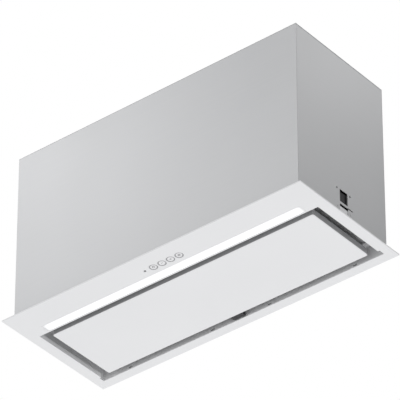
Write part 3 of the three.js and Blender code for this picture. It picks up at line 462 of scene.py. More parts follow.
def finish(name, tones, roughness, metallic=0.0, pattern=fine_texture, scale=1.0, grain=(1, 1, 1), bump=0.1,
           depth=GRAIN_DEPTH, edge=None, edge_strength=4.0, drift_scale=5.0):
    """A material of two tones, a roughness range, a grain, and an edge colour that is partly wear and partly
    painted highlight; the lid's dark edge colour is a painted shadow line.
    """
    material = bpy.data.materials.new(name)
    material.use_nodes = True
    tree = material.node_tree
    tree.nodes.clear()
    shader = new_node(tree, "BsdfPrincipled", {"Metallic": metallic})
    output = new_node(tree, "OutputMaterial")
    tree.links.new(shader.outputs["BSDF"], output.inputs["Surface"])

    place = new_node(tree, "TexCoord")
    stretch = new_node(tree, "Mapping", {"Scale": grain})
    texture = new_node(tree, "Group", {"Scale": scale}, node_tree=pattern)
    drift = new_node(tree, "Group", {"Scale": drift_scale}, node_tree=slow_drift)
    tree.links.new(place.outputs["Object"], stretch.inputs["Vector"])
    tree.links.new(stretch.outputs["Vector"], texture.inputs["Vector"])
    tree.links.new(place.outputs["Object"], drift.inputs["Vector"])

    blend = new_node(tree, "Math", {1: GRAIN_SHARE}, operation="MULTIPLY_ADD")
    drift_part = new_node(tree, "Math", {1: 1 - GRAIN_SHARE}, operation="MULTIPLY")
    tree.links.new(drift.outputs["Mask"], drift_part.inputs[0])
    tree.links.new(texture.outputs["Mask"], blend.inputs[0])
    tree.links.new(drift_part.outputs["Value"], blend.inputs[2])
    tone = new_node(tree, "ValToRGB")
    for stop, colour in zip(tone.color_ramp.elements, tones):
        stop.color = (*colour, 1)
    tree.links.new(blend.outputs["Value"], tone.inputs["Fac"])
    colour = tone.outputs["Color"]
    # The edge colour: a lighter one is partly wear and partly painted highlight, the lid's dark one a painted
    # shadow line.
    if edge:
        wear_and_highlight_mask = new_node(tree, "Group", {"Strength": edge_strength}, node_tree=edge_wear_and_highlight)
        colour = mixed(tree, wear_and_highlight_mask.outputs["Mask"], colour, edge)
    tree.links.new(colour, shader.inputs["Base Color"])

    sheen = new_node(tree, "MapRange", {"To Min": roughness[0], "To Max": roughness[1]})
    relief = new_node(tree, "Bump", {"Strength": bump, "Distance": depth})
    tree.links.new(blend.outputs["Value"], sheen.inputs["Value"])
    tree.links.new(sheen.outputs["Result"], shader.inputs["Roughness"])
    tree.links.new(texture.outputs["Mask"], relief.inputs["Height"])
    tree.links.new(relief.outputs["Normal"], shader.inputs["Normal"])
    return material


print("finish mixer ready")

# %% [markdown]
# ## The finishes of the metal parts
# The casing is steel sheet with a faint horizontal grain, so its noise is squeezed along Z on the
# upright panels and along Y on the lid. The lid's near black edge colour is a painted shadow line along
# its edge. The walls of the inlet have a light coat, made darker than the flange's white so that it
# also paints part of the shade inside the slot. Brackets and stiffener are galvanised, which shows as
# flat crystals of slightly different grey. The button caps are satin plated, in rings of a darker plate
# that also paints the shade of the narrow gap round each cap. The filters are rolled aluminium, the
# clips black steel, and the small turned parts are zinc plated.

# %% Metal finishes
PAINT_DEPTH = 0.06 * MM
UPRIGHT_GRAIN = (5, 5, 1100)
LID_GRAIN = (5, 1100, 5)
CASING_TONES = ((0.575, 0.578, 0.585), (0.615, 0.617, 0.622))

# The casing's lighter edge colour is partly wear and partly a painted highlight.
casing_steel = finish("casing steel", CASING_TONES, (0.40, 0.48), 0.75,
                      pattern=brushed_grain, grain=UPRIGHT_GRAIN, bump=0.05, edge=(0.72, 0.72, 0.73),
                      edge_strength=2.5)
# The lid's near black edge colour is a painted shadow line along the lid's edge.
lid_steel = finish("lid steel", CASING_TONES, (0.40, 0.48), 0.75,
                   pattern=brushed_grain, grain=LID_GRAIN, bump=0.05, edge=(0.13, 0.13, 0.135))
# A white coat darker than the flange's, whose lower tone paints part of the shade inside the slot.
shaded_white_liner = finish("white liner", ((0.67, 0.672, 0.68), (0.73, 0.732, 0.74)), (0.42, 0.5), 0.05,
                     scale=620, bump=0.07, depth=PAINT_DEPTH, edge=(0.84, 0.84, 0.85), edge_strength=2)
galvanised = finish("galvanised sheet", ((0.46, 0.465, 0.475), (0.56, 0.565, 0.57)), (0.34, 0.5), 0.8,
                    pattern=spangle, scale=95, bump=0.06, edge=(0.66, 0.66, 0.67), edge_strength=2.0)
satin_plate = finish("satin plate", ((0.80, 0.80, 0.81), (0.86, 0.86, 0.87)), (0.34, 0.42), 0.35,
                     pattern=brushed_grain, grain=(900, 30, 30), bump=0.06, edge=(0.9, 0.9, 0.905))
# The rings' darker plate also paints the shade of the narrow gap round each cap.
ring_and_gap_shade_plate = finish("ring plate", ((0.34, 0.34, 0.35), (0.42, 0.42, 0.43)), (0.26, 0.36), 0.9,
                    pattern=brushed_grain, grain=(900, 30, 30), bump=0.06, edge=(0.62, 0.62, 0.63))
aluminium = finish("rolled aluminium", ((0.56, 0.565, 0.575), (0.68, 0.685, 0.69)), (0.32, 0.46), 0.95,
                   pattern=brushed_grain, grain=(20, 900, 900), bump=0.08, edge=(0.8, 0.8, 0.81))
zinc_plate = finish("zinc plate", ((0.50, 0.50, 0.47), (0.60, 0.60, 0.61)), (0.24, 0.4), 0.95,
                    scale=400, bump=0.08, edge=(0.78, 0.78, 0.77), drift_scale=40)
black_oxide = finish("black oxide", ((0.016, 0.016, 0.018), (0.032, 0.032, 0.035)), (0.40, 0.55), 0.25,
                     scale=700, bump=0.15, edge=(0.1, 0.1, 0.1), drift_scale=60)
motor_lacquer = finish("motor lacquer", ((0.10, 0.105, 0.115), (0.14, 0.145, 0.155)), (0.34, 0.46), 0.2,
                       scale=500, bump=0.2, depth=0.1 * MM, edge=(0.3, 0.3, 0.31))
brass = finish("brass", ((0.62, 0.45, 0.18), (0.74, 0.56, 0.26)), (0.26, 0.4), 1.0,
               scale=600, bump=0.1, edge=(0.86, 0.7, 0.4))
print("metal finishes made")

# %% [markdown]
# ## Paint, plastic and circuit board
# The flange and the suction panel are powder coated: very even, with a fine orange-peel unevenness that
# only shows in the highlights, so the bump is low and wide. The moulded parts have a finer, rougher
# skin. A circuit board is green lacquer over copper, and its tracks show through as slightly lighter
# lines.

# %% Paint and plastic finishes
WHITE_TONES = ((0.800, 0.802, 0.812), (0.826, 0.828, 0.836))

white_coat = finish("white powder coat", WHITE_TONES, (0.40, 0.47), 0.0,
                    scale=620, bump=0.07, depth=PAINT_DEPTH, edge=(0.86, 0.86, 0.87), edge_strength=2)
black_moulding = finish("black moulding", ((0.018, 0.018, 0.020), (0.034, 0.034, 0.037)), (0.44, 0.60), 0.0,
                        scale=1300, bump=0.25, edge=(0.08, 0.08, 0.085))
grey_moulding = finish("grey moulding", ((0.235, 0.24, 0.25), (0.29, 0.295, 0.30)), (0.42, 0.56), 0.0,
                       scale=1100, bump=0.22, edge=(0.4, 0.4, 0.41))
cream_moulding = finish("cream moulding", ((0.70, 0.68, 0.61), (0.78, 0.76, 0.70)), (0.28, 0.38), 0.0,
                        scale=800, bump=0.1, edge=(0.86, 0.85, 0.8))
solder_mask = finish("solder mask", ((0.020, 0.115, 0.055), (0.04, 0.20, 0.10)), (0.24, 0.4), 0.0,
                     pattern=brushed_grain, grain=(260, 900, 1), bump=0.2, depth=0.08 * MM, drift_scale=120)
dark_print = finish("dark print", ((0.085, 0.085, 0.09), (0.13, 0.13, 0.135)), (0.5, 0.62), 0.0,
                    scale=1500, bump=0.1)
phosphor = finish("lamp phosphor", ((0.82, 0.66, 0.18), (0.90, 0.76, 0.30)), (0.3, 0.45), 0.0,
                  scale=1500, bump=0.1)
print("paint and plastic finishes made")

# %% [markdown]
# ## Opal lamp lens
# The lens is a strip of opal plastic with a row of diodes behind it, so it glows evenly and fades a
# little where the board ends. The glow is set by place: full in the middle, weaker in the last few
# millimetres at the front and at both ends. A lamp object behind clear plastic would also work, but it
# needs many more samples.

# %% Opal lens finish
lens_low, lens_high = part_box("lamp_diffuser")
GLOW = 0.62
GLOW_AT_EDGE = 0.0
FRONT_FADE = 9 * MM
END_FADE = 14 * MM

opal = finish("opal lens", ((0.81, 0.812, 0.82), (0.835, 0.837, 0.845)), (0.36, 0.42), scale=900, bump=0.05)
tree, shader, axes = opened(opal)
front_range = {"From Min": lens_low.y, "From Max": lens_low.y + FRONT_FADE, "To Min": GLOW_AT_EDGE}
front = new_node(tree, "MapRange", front_range, interpolation_type="SMOOTHSTEP")
end_range = {"From Min": lens_high.x, "From Max": lens_high.x - END_FADE}
ends = new_node(tree, "MapRange", end_range, interpolation_type="SMOOTHSTEP")
from_middle = new_node(tree, "Math", operation="ABSOLUTE")
both = new_node(tree, "Math", operation="MULTIPLY")
glow = new_node(tree, "CombineColor")
tree.links.new(axes.outputs["Y"], front.inputs["Value"])
tree.links.new(axes.outputs["X"], from_middle.inputs[0])
tree.links.new(from_middle.outputs["Value"], ends.inputs["Value"])
tree.links.new(front.outputs["Result"], both.inputs[0])
tree.links.new(ends.outputs["Result"], both.inputs[1])
for channel in ("Red", "Green", "Blue"):
    tree.links.new(both.outputs["Value"], glow.inputs[channel])
tree.links.new(glow.outputs["Color"], shader.inputs["Emission Color"])
shader.inputs["Emission Strength"].default_value = GLOW
print("lens from", round(lens_low.y, 4), "to", round(lens_high.y, 4))

# %% [markdown]
# ## Sheet parts with real edges
# Cut and folded sheet never has a perfectly sharp edge. Even a radius of a third of a millimetre
# catches a thin line of light, and that line is what tells the eye that the part is real. The packed
# part is a bag of loose triangles, so a copy of it is first welded, its flat faces are dissolved back
# into whole faces, and only then are its sharp edges bevelled. Modelling each sheet again by hand would
# give the same shape at far more work.

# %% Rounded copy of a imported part
WELD = 0.02 * MM
FLAT_ANGLE = math.radians(0.5)


def rounded(node, material, width=0.3 * MM, segments=2, name=None):
    """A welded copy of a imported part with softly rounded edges, on the same body."""
    name = name or node + "_sheet"
    source = frame["nodes"][node]
    piece = bpy.data.objects.new(name, source.data.copy())
    bpy.context.scene.collection.objects.link(piece)
    only(piece)
    bpy.ops.object.mode_set(mode="EDIT")
    bpy.ops.mesh.select_all(action="SELECT")
    bpy.ops.mesh.customdata_custom_splitnormals_clear()
    bpy.ops.mesh.remove_doubles(threshold=WELD)
    bpy.ops.mesh.dissolve_limited(angle_limit=FLAT_ANGLE)
    bpy.ops.object.mode_set(mode="OBJECT")
    bevelled(piece, width, segments)
    return finished(piece, name, source["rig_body"], material, [node])


for node in ("front_panel", "rear_panel", "left_side_panel", "right_side_panel"):
    rounded(node, casing_steel)
rounded("top_panel", lid_steel)
rounded("flange_frame", white_coat, 0.45 * MM, 3)
# The inlet walls take the darker white, which paints part of the shade inside the slot.
rounded("inlet_collar", shaded_white_liner)
for node in ("hinge_bracket_left", "hinge_bracket_right", "panel_stiffener"):
    rounded(node, galvanised)
rounded("motor_bracket", zinc_plate, 0.25 * MM)
for node in ("clip_bracket_left", "clip_bracket_right", "side_clip_left", "side_clip_right"):
    rounded(node, black_oxide, 0.25 * MM)
for node in ("hinge_pin_left", "hinge_pin_right", "clip_pin_left", "clip_pin_right", "flap_pin",
             "motor_shaft"):
    rounded(node, zinc_plate, 0.4 * MM, 2, node + "_turned")
for node in ("volute_wall", "volute_side_left", "volute_side_right", "wiring_box", "wiring_box_cover",
             "control_case"):
    rounded(node, grey_moulding, 0.35 * MM, 2, node + "_moulding")
rounded("lamp_housing", aluminium, 0.4 * MM)

# %% [markdown]
# ## Suction panel
# The white panel is a shallow tray of sheet, folded up along all four edges. Air goes in round it, not
# through it. Only its face and its rounded rim are white. The folded walls are grey as painted shade, so
# the narrow slot round the panel reads as a dark line. A block gets its top opened, its upright corners
# rounded widely and its lower rim narrowly, and then a wall of sheet thickness. The two tones could be
# two pieces, but a real panel is one bent sheet.

# %% Panel finish
PAINT_END = 0.9 * MM
PAINT_BLEND = 0.4 * MM
# The grey of the folded walls is painted shade for the narrow slot round the panel.
SLOT_SHADE_GREY = (0.34, 0.342, 0.35)

panel_coat = finish("white panel coat", WHITE_TONES, (0.40, 0.47), scale=620, bump=0.07, depth=PAINT_DEPTH)
tree, shader, axes = opened(panel_coat)
white = shader.inputs["Base Color"].links[0].from_socket
slot_shade_share = new_node(tree, "MapRange", {"From Min": PAINT_END, "From Max": PAINT_END + PAINT_BLEND})
tree.links.new(axes.outputs["Z"], slot_shade_share.inputs["Value"])
# White on the face, and grey painted shade on the walls above PAINT_END.
white_and_slot_shade = mixed(tree, slot_shade_share.outputs["Result"], white, SLOT_SHADE_GREY)
tree.links.new(white_and_slot_shade, shader.inputs["Base Color"])
print("panel white up to", PAINT_END / MM, "mm, grey above")

# %% Suction panel tray
SHEET = 1.2 * MM
CORNER_RADIUS = 3.5 * MM
RIM_RADIUS = 1.1 * MM


def tray(name, low, high, corner, rim):
    """A shallow tray of sheet, open on top, inside a box."""
    piece = cube_between(name, low, high)
    middle_z = (low.z + high.z) / 2
    picked(piece, "FACE", lambda centre, normal: normal.z > 0.9)
    bpy.ops.mesh.delete(type="FACE")
    picked(piece, "EDGE", lambda a, b: abs(a.z - b.z) > middle_z - low.z)
    bpy.ops.mesh.bevel(offset=corner, segments=6, affect="EDGES")
    picked(piece, "EDGE", lambda a, b: max(a.z, b.z) < middle_z)
    bpy.ops.mesh.bevel(offset=rim, segments=4, affect="EDGES")
    bpy.ops.object.mode_set(mode="OBJECT")
    wall = piece.modifiers.new("sheet", "SOLIDIFY")
    wall.thickness = SHEET
    wall.offset = -1
    wall.use_even_offset = True
    bpy.ops.object.modifier_apply(modifier=wall.name)
    return piece


panel_low, panel_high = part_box("suction_panel")
panel = tray("suction_panel_tray", panel_low, panel_high, CORNER_RADIUS, RIM_RADIUS)
finished(panel, "suction_panel_tray", "suction_panel_leaf", panel_coat, ["suction_panel"])
print("panel", [round(v / MM, 1) for v in panel_high - panel_low], "mm")

# %% [markdown]
# ## Lamp lens
# The lens drops into its slot from inside and its wider ledge rests on the flange. Its visible face has
# a slightly rounded rim, so a thin shadow line separates it from the painted flange. It is made of two
# blocks, a narrow one for the face and a wider one for the ledge, because each then gets the rounding
# that suits it. One block with a step cut round it would have the same rounding all over.

# %% Lamp lens
FLANGE_SHEET = 2.1 * MM
LENS_CORNER = 1.2 * MM
LENS_RIM = 0.5 * MM
SHOULDER = Vector((1.6 * MM, 1.6 * MM, 0))

lens = cube_between("lamp_lens", lens_low + SHOULDER, lens_high - SHOULDER)
picked(lens, "EDGE", lambda a, b: abs(a.z - b.z) > MM)
bpy.ops.mesh.bevel(offset=LENS_CORNER, segments=4, affect="EDGES")
picked(lens, "EDGE", lambda a, b: max(a.z, b.z) < lens_low.z + 0.1 * MM)
bpy.ops.mesh.bevel(offset=LENS_RIM, segments=3, affect="EDGES")
bpy.ops.object.mode_set(mode="OBJECT")
ledge = cube_between("lens_ledge", (lens_low.x, lens_low.y, lens_low.z + FLANGE_SHEET), lens_high)
bevelled(ledge, 0.3 * MM)
finished(joined([lens, ledge]), "lamp_lens", "hood", opal, ["lamp_diffuser"])
print("lens", round((lens_high.x - lens_low.x) / MM), "mm long")

# %% [markdown]
# ## Buttons
# Each button is a turned cap in a thin ring. The cap's face is dished, with a rounded rim that a finger
# can feel, and carries a small dark mark: a ring with a bar, a minus, a plus, and a ring with a dot.
# The cap and the ring are outlines spun about the button's axis, which gives true circles and lets the
# rim's curve be drawn once.

# %% Button caps and rings
def arc_points(centre_r, centre_h, radius, start, end, steps):
    """Points on a round stretch of an outline, as (radius, height)."""
    turn = [math.radians(start + (end - start) * i / steps) for i in range(steps + 1)]
    return [(centre_r + radius * math.cos(t), centre_h + radius * math.sin(t)) for t in turn]


cap_low, cap_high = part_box("button_1")
ring_low, ring_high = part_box("button_bezel_1")
CAP_RADIUS = (cap_high.x - cap_low.x) / 2
RING_FLANGE = (ring_high.x - ring_low.x) / 2
RING_INNER = CAP_RADIUS + 0.3 * MM
RING_OUTER = RING_INNER + 1.5 * MM
DISH_RADIUS = CAP_RADIUS - 1.5 * MM
DISH_DEPTH = 0.55 * MM
RIM = 0.5 * MM
LIP = 0.3 * MM
RING_STEP = FLANGE_SHEET + 1.4 * MM

cap_profile = [(0, cap_low.z + DISH_DEPTH), (DISH_RADIUS * 0.7, cap_low.z + DISH_DEPTH * 0.85),
               (DISH_RADIUS, cap_low.z + 0.12 * MM), (DISH_RADIUS + 0.35 * MM, cap_low.z),
               *arc_points(CAP_RADIUS - RIM, cap_low.z + RIM, RIM, -90, 0, 4),
               (CAP_RADIUS, cap_high.z - RIM), (CAP_RADIUS - RIM, cap_high.z), (0, cap_high.z)]
ring_profile = [*arc_points(RING_INNER + LIP, LIP, LIP, 180, 270, 3),
                *arc_points(RING_OUTER - LIP, LIP, LIP, 270, 360, 3),
                (RING_OUTER, FLANGE_SHEET), (RING_FLANGE, FLANGE_SHEET), (RING_FLANGE, RING_STEP),
                (RING_OUTER, RING_STEP), (RING_OUTER, ring_high.z), (RING_INNER, ring_high.z)]
ring_profile.append(ring_profile[0])

UP = Vector((0, 0, 1))
HERE = Vector((0, 0, 0))
cap_model = spun("cap_model", cap_profile, HERE, UP)
ring_model = spun("ring_model", ring_profile, HERE, UP)
print("cap", round(2 * CAP_RADIUS / MM, 1), "mm across, ring", round(2 * RING_OUTER / MM, 1))

# %% Marks on the buttons
mark_low = cap_low.z + 0.22 * MM
mark_high = cap_low.z + 0.75 * MM
STROKE = 0.55 * MM
BAR_HALF = 2.2 * MM
MARK_RADIUS = 2.3 * MM
SHORT_BAR = Vector((0, 1.6 * MM, 0))


def bar(middle, half_length, turned=False):
    """A short printed stroke on a button's face."""
    half = (STROKE / 2, half_length) if turned else (half_length, STROKE / 2)
    low = (middle.x - half[0], middle.y - half[1], mark_low)
    high = (middle.x + half[0], middle.y + half[1], mark_high)
    return bevelled(cube_between("stroke", low, high), 0.12 * MM, 2)


def ring_mark(middle):
    """A printed ring on a button's face."""
    inner, outer = MARK_RADIUS - STROKE / 2, MARK_RADIUS + STROKE / 2
    outline = [(inner, mark_low), (outer, mark_low), (outer, mark_high), (inner, mark_high),
               (inner, mark_low)]
    return spun("ring_mark", outline, middle, UP, 40)


def dot_mark(middle, radius):
    """A printed dot on a button's face."""
    outline = [(0, mark_low), (radius, mark_low), (radius, mark_high), (0, mark_high)]
    return spun("dot_mark", outline, middle, UP, 20)


middles = [upright_axis(f"button_{i}") for i in range(1, 5)]
marks = [
    [ring_mark(middles[0]), bar(middles[0] - SHORT_BAR, 1.3 * MM, True)],
    [bar(middles[1], BAR_HALF)],
    [bar(middles[2], BAR_HALF), bar(middles[2], BAR_HALF, True)],
    [ring_mark(middles[3]), dot_mark(middles[3], 0.8 * MM)],
]
for i, (shift, mark) in enumerate(zip(shifts(middles), marks), 1):
    body = f"push_button_{i}"
    cap = moved_copy(cap_model, shift)
    finished(cap, f"button_cap_{i}", body, satin_plate, [f"button_{i}"])
    ring = moved_copy(ring_model, shift)
    # The ring's darker plate is partly painted shade of the gap round the cap.
    finished(ring, f"button_ring_{i}", "hood", ring_and_gap_shade_plate, [f"button_bezel_{i}"])
    finished(joined(mark), f"button_mark_{i}", body, dark_print)
for model in (cap_model, ring_model):
    bpy.data.objects.remove(model)
print("marks on", len(middles), "buttons")

# %% Indicator window
dot_low, dot_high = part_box("indicator_lens")
dot_radius = (dot_high.x - dot_low.x) / 2
dot_profile = [(0, dot_low.z), (dot_radius * 0.6, dot_low.z + 0.1 * MM), (dot_radius, dot_low.z + 0.6 * MM),
               (dot_radius, dot_high.z), (0, dot_high.z)]
indicator = spun("indicator_window", dot_profile, upright_axis("indicator_lens"), UP, 32)
finished(indicator, "indicator_window", "hood", black_moulding, ["indicator_lens"])
print("indicator", round(2 * dot_radius / MM, 1), "mm across")

# %% [markdown]
# ## Catch
# A dark push catch behind the panel's rear edge holds it shut. Its tongue has fine ribs underneath for
# grip. Each rib is a thin bar with rounded edges that is sunk a little into the tongue. One bar is
# modelled and the others are copies. They could also be pushed out of the tongue's own face, but a bar
# of its own gets its edges rounded in one step.

# %% Catch tongue and housing
RIB_COUNT = 9
RIB_SUNK = 0.5 * MM
RIB_OUT = 0.3 * MM
RIB_END = 1.2 * MM

rounded("catch_tongue", black_moulding, 0.35 * MM, 2, "catch_tongue_block")
tongue_low, tongue_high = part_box("catch_tongue")
pitch = (tongue_high.x - tongue_low.x - 2 * MM) / RIB_COUNT
rib = cube_between("rib", (-0.25 * pitch, tongue_low.y + RIB_END, tongue_low.z - RIB_OUT),
                   (0.25 * pitch, tongue_high.y - RIB_END, tongue_low.z + RIB_SUNK))
bevelled(rib, 0.2 * MM, 2)
rib_places = [(tongue_low.x + MM + (i + 0.5) * pitch, 0, 0) for i in range(RIB_COUNT)]
finished(joined(copies(rib, shifts(rib_places))), "catch_ribs", "catch", black_moulding)
rounded("catch_housing", black_moulding, 0.4 * MM, 2, "catch_housing_block")
print(RIB_COUNT, "ribs,", round(pitch / MM, 2), "mm apart")

# %% [markdown]
# ## Grease filters
# Each filter is a folded aluminium frame with a pleated layer in it, and a layer of expanded mesh
# below. That one faces the cook and shows once the panel hangs open. Expanded metal is a sheet that is
# slit and pulled, so its holes are diamonds. A grid is poked, which gives every square a middle point,
# and the square's own edges are dissolved: what is left is a tiling of diamonds, and the wireframe
# modifier turns its lines into strands.

# %% Filter frames, straps and pleated layers
for side in ("left", "right"):
    rounded(f"filter_frame_{side}", aluminium, 0.4 * MM, 2, f"filter_rim_{side}")
    rounded(f"filter_strap_{side}", black_moulding, 0.5 * MM, 3, f"filter_pull_{side}")
    rounded(f"filter_mesh_{side}", galvanised, 0.15 * MM, 1, f"filter_pleats_{side}")
print("filter frames rounded")

# %% Expanded mesh
CELL = 7.5 * MM
CELL_SHARE = 0.6
STRAND = 0.7 * MM


def expanded_mesh(name, low, high, height):
    """A flat sheet of diamond mesh over a rectangle, at a height."""
    wide, deep = high.x - low.x, high.y - low.y
    only(bpy.context.object)
    bpy.ops.mesh.primitive_grid_add(x_subdivisions=round(wide / CELL),
                                    y_subdivisions=round(deep / (CELL_SHARE * CELL)), size=1)
    sheet = bpy.context.object
    sheet.name = name
    sheet.scale = (wide, deep, 1)
    sheet.location = ((low.x + high.x) / 2, (low.y + high.y) / 2, height)
    only(sheet)
    bpy.ops.object.transform_apply(location=True, rotation=True, scale=True)
    bpy.ops.object.mode_set(mode="EDIT")
    bpy.ops.mesh.select_all(action="SELECT")
    bpy.ops.mesh.poke()

    def square_edge(a, b):
        middle = (a + b) / 2
        straight = abs(a.x - b.x) < MERGE or abs(a.y - b.y) < MERGE
        return straight and low.x + MM < middle.x < high.x - MM and low.y + MM < middle.y < high.y - MM

    picked(sheet, "EDGE", square_edge)
    bpy.ops.mesh.dissolve_edges(use_verts=False)
    bpy.ops.object.mode_set(mode="OBJECT")
    strands = sheet.modifiers.new("strands", "WIREFRAME")
    strands.thickness = STRAND
    strands.use_even_offset = False
    strands.use_boundary = True
    bpy.ops.object.modifier_apply(modifier=strands.name)
    return sheet


print("strands", round(STRAND / MM, 1), "mm thick")

# %% Mesh and rivets on both filters
MESH_INSET = Vector((9 * MM, 9 * MM, 0))
MESH_HEIGHT = 0.55 * MM
FILTER_RIVET_INSET = 4.5 * MM
HEAD_RADIUS = 1.8 * MM

for side in ("left", "right"):
    frame_node = f"filter_frame_{side}"
    rim_low, rim_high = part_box(frame_node)
    sheet = expanded_mesh("diamonds", rim_low + MESH_INSET, rim_high - MESH_INSET, rim_low.z + MESH_HEIGHT)
    finished(sheet, f"filter_diamonds_{side}", f"filter_{side}", aluminium)
    head_profile = [(0, -0.05 * MM), (1.2 * MM, -0.02 * MM), (HEAD_RADIUS, 0.3 * MM), (0, 0.5 * MM)]
    heads = copies(spun("rivet", head_profile, HERE, UP, 16),
                   shifts(corners(frame_node, FILTER_RIVET_INSET, rim_low.z)))
    finished(joined(heads), f"filter_rivets_{side}", f"filter_{side}", zinc_plate)
    print(side, "diamonds:", len(sheet.data.polygons), "faces")

# %% [markdown]
# ## Screws and rivets
# One pan-head screw and one pop rivet serve the whole hood. The screw's head is an outline spun about
# its axis, and its recess is a six-pointed star: the top face is inset, every second point of the inset
# is drawn in, and the face is pushed down. Copies of the two are then carried to each place, so all
# heads match, as bought screws do.

# %% Screw model
SCREW_RADIUS = 3.4 * MM
SCREW_HEAD = 1.9 * MM
SCREW_REACH = 3 * MM
SHANK = 1.4 * MM
SEAT = 0.02 * MM
HEAD_ROUND = 0.9 * MM
RECESS = 1.9 * MM
STAR_PULL = 0.72
RECESS_DEPTH = 1.1 * MM
SCREW_STEPS = 24
head_top = SCREW_HEAD - 0.01 * MM

screw_profile = [(0, -SCREW_REACH), (SHANK, -SCREW_REACH), (SHANK, SEAT), (SCREW_RADIUS, SEAT),
                 *arc_points(SCREW_RADIUS - HEAD_ROUND, SCREW_HEAD - HEAD_ROUND, HEAD_ROUND, 0, 80, 4),
                 (RECESS, SCREW_HEAD)]
screw_model = spun("screw_model", screw_profile, HERE, UP, SCREW_STEPS)
picked(screw_model, "EDGE", lambda a, b: min(a.z, b.z) > head_top)
bpy.ops.mesh.edge_face_add()
bpy.ops.mesh.inset(thickness=0.25 * MM, depth=0)
bpy.ops.object.mode_set(mode="OBJECT")


def star_point(place):
    """Whether a vertex of the inset ring is one of the pairs that are drawn in."""
    turn = round(math.atan2(place.y, place.x) / (2 * math.pi) * SCREW_STEPS)
    return place.z > head_top and place.xy.length < RECESS - 0.1 * MM and turn % 4 in (1, 2)


picked(screw_model, "VERT", star_point)
bpy.ops.transform.resize(value=(STAR_PULL, STAR_PULL, 1), center_override=(0, 0, SCREW_HEAD))
picked(screw_model, "FACE", lambda c, n: n.z > 0.95 and c.z > head_top and c.xy.length < 0.3 * MM)
bpy.ops.mesh.extrude_region_move(TRANSFORM_OT_translate={"value": (0, 0, -RECESS_DEPTH)})
bpy.ops.object.mode_set(mode="OBJECT")
print("screw head", round(2 * SCREW_RADIUS / MM, 1), "mm across")

# %% Rivet model, and setting fasteners in place
RIVET_REACH = 2 * MM
RIVET_SHANK = 1.6 * MM
RIVET_RADIUS = 3.2 * MM

rivet_profile = [(0, -RIVET_REACH), (RIVET_SHANK, -RIVET_REACH), (RIVET_SHANK, SEAT), (RIVET_RADIUS, SEAT),
                 *arc_points(2.4 * MM, 0.2 * MM, 0.75 * MM, 0, 70, 3), (1.3 * MM, 0.95 * MM),
                 (1.1 * MM, 0.7 * MM), (0, 0.6 * MM)]
rivet_model = spun("rivet_model", rivet_profile, HERE, UP, 20)


def fastened(model, name, places, facing):
    """Copies of a fastener at some places, all facing one way, as one piece."""
    turn = UP.rotation_difference(Vector(facing)).to_matrix().to_4x4()
    set_in = [moved_copy(model, shift @ turn) for shift in shifts(places)]
    return finished(joined(set_in), name, "hood", zinc_plate)


print("rivet head", round(2 * RIVET_RADIUS / MM, 1), "mm across")

# %% Fasteners on the lid and the rear
SCREW_INSET = 9 * MM
RIVET_INSET = 8 * MM
RIVET_END = 30 * MM
RIVET_ROWS = 5

lid_low, lid_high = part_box("top_panel")
lid_places = corners("top_panel", SCREW_INSET, lid_high.z)
lid_places.append(Vector((0, lid_low.y + SCREW_INSET, lid_high.z)))
fastened(screw_model, "lid_screws", lid_places, UP)

rear_low, rear_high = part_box("rear_panel")
row_step = (rear_high.z - rear_low.z - 2 * RIVET_END) / (RIVET_ROWS - 1)
rear_places = [Vector((x, rear_high.y, rear_low.z + RIVET_END + i * row_step))
               for x in (rear_low.x + RIVET_INSET, rear_high.x - RIVET_INSET) for i in range(RIVET_ROWS)]
fastened(rivet_model, "rear_rivets", rear_places, (0, 1, 0))
print("screws", len(lid_places), "rivets", len(rear_places))

# %% [markdown]
# ## Outlet collar and flaps
# A black moulded collar stands on the lid and takes the duct. Real ones have a flange with screws, a
# ring of small gussets that stiffens it, and a soft rounded rim that the duct slides over. The collar's
# wall and flange are one outline spun about the duct's axis; one gusset is modelled and the rest are
# copies turned about that axis.

# %% Outlet collar
DUCT_MIDDLE = upright_axis("outlet_collar")
collar_low, collar_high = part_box("outlet_collar")
COLLAR_RADIUS = (collar_high.x - collar_low.x) / 2
DUCT_OUTER = COLLAR_RADIUS - 9 * MM
DUCT_INNER = DUCT_OUTER - SHEET
PIN_Z = lid_high.z + 22 * MM
STOP_Z = PIN_Z - 0.9 * MM
STOP = 3 * MM
SOFT_EDGE = 0.4 * MM
base_z, rim_z = collar_low.z, collar_high.z

collar_profile = [(DUCT_INNER, base_z), (COLLAR_RADIUS, base_z),
                  *arc_points(COLLAR_RADIUS - SOFT_EDGE, base_z + SHEET - SOFT_EDGE, SOFT_EDGE, 0, 90, 3),
                  (DUCT_OUTER + 1.2 * MM, base_z + SHEET), (DUCT_OUTER, base_z + 2.2 * MM),
                  *arc_points((DUCT_OUTER + DUCT_INNER) / 2, rim_z - SHEET / 2, SHEET / 2, 0, 180, 6),
                  (DUCT_INNER, STOP_Z), (DUCT_INNER - STOP, STOP_Z), (DUCT_INNER, STOP_Z - STOP),
                  (DUCT_INNER, base_z)]
collar = spun("outlet_collar_wall", collar_profile, DUCT_MIDDLE, UP, 96)
print("collar", round(2 * DUCT_OUTER / MM, 1), "mm across")

# %% Gussets and screws of the collar
GUSSETS = 12
GUSSET_HALF = 0.8 * MM
GUSSET_REACH = 6 * MM
GUSSET_TOP = base_z + 8 * MM
GUSSET_SLOPE = 5.6 * MM
COLLAR_SCREWS = 4
SCREW_CIRCLE = COLLAR_RADIUS - 4.6 * MM

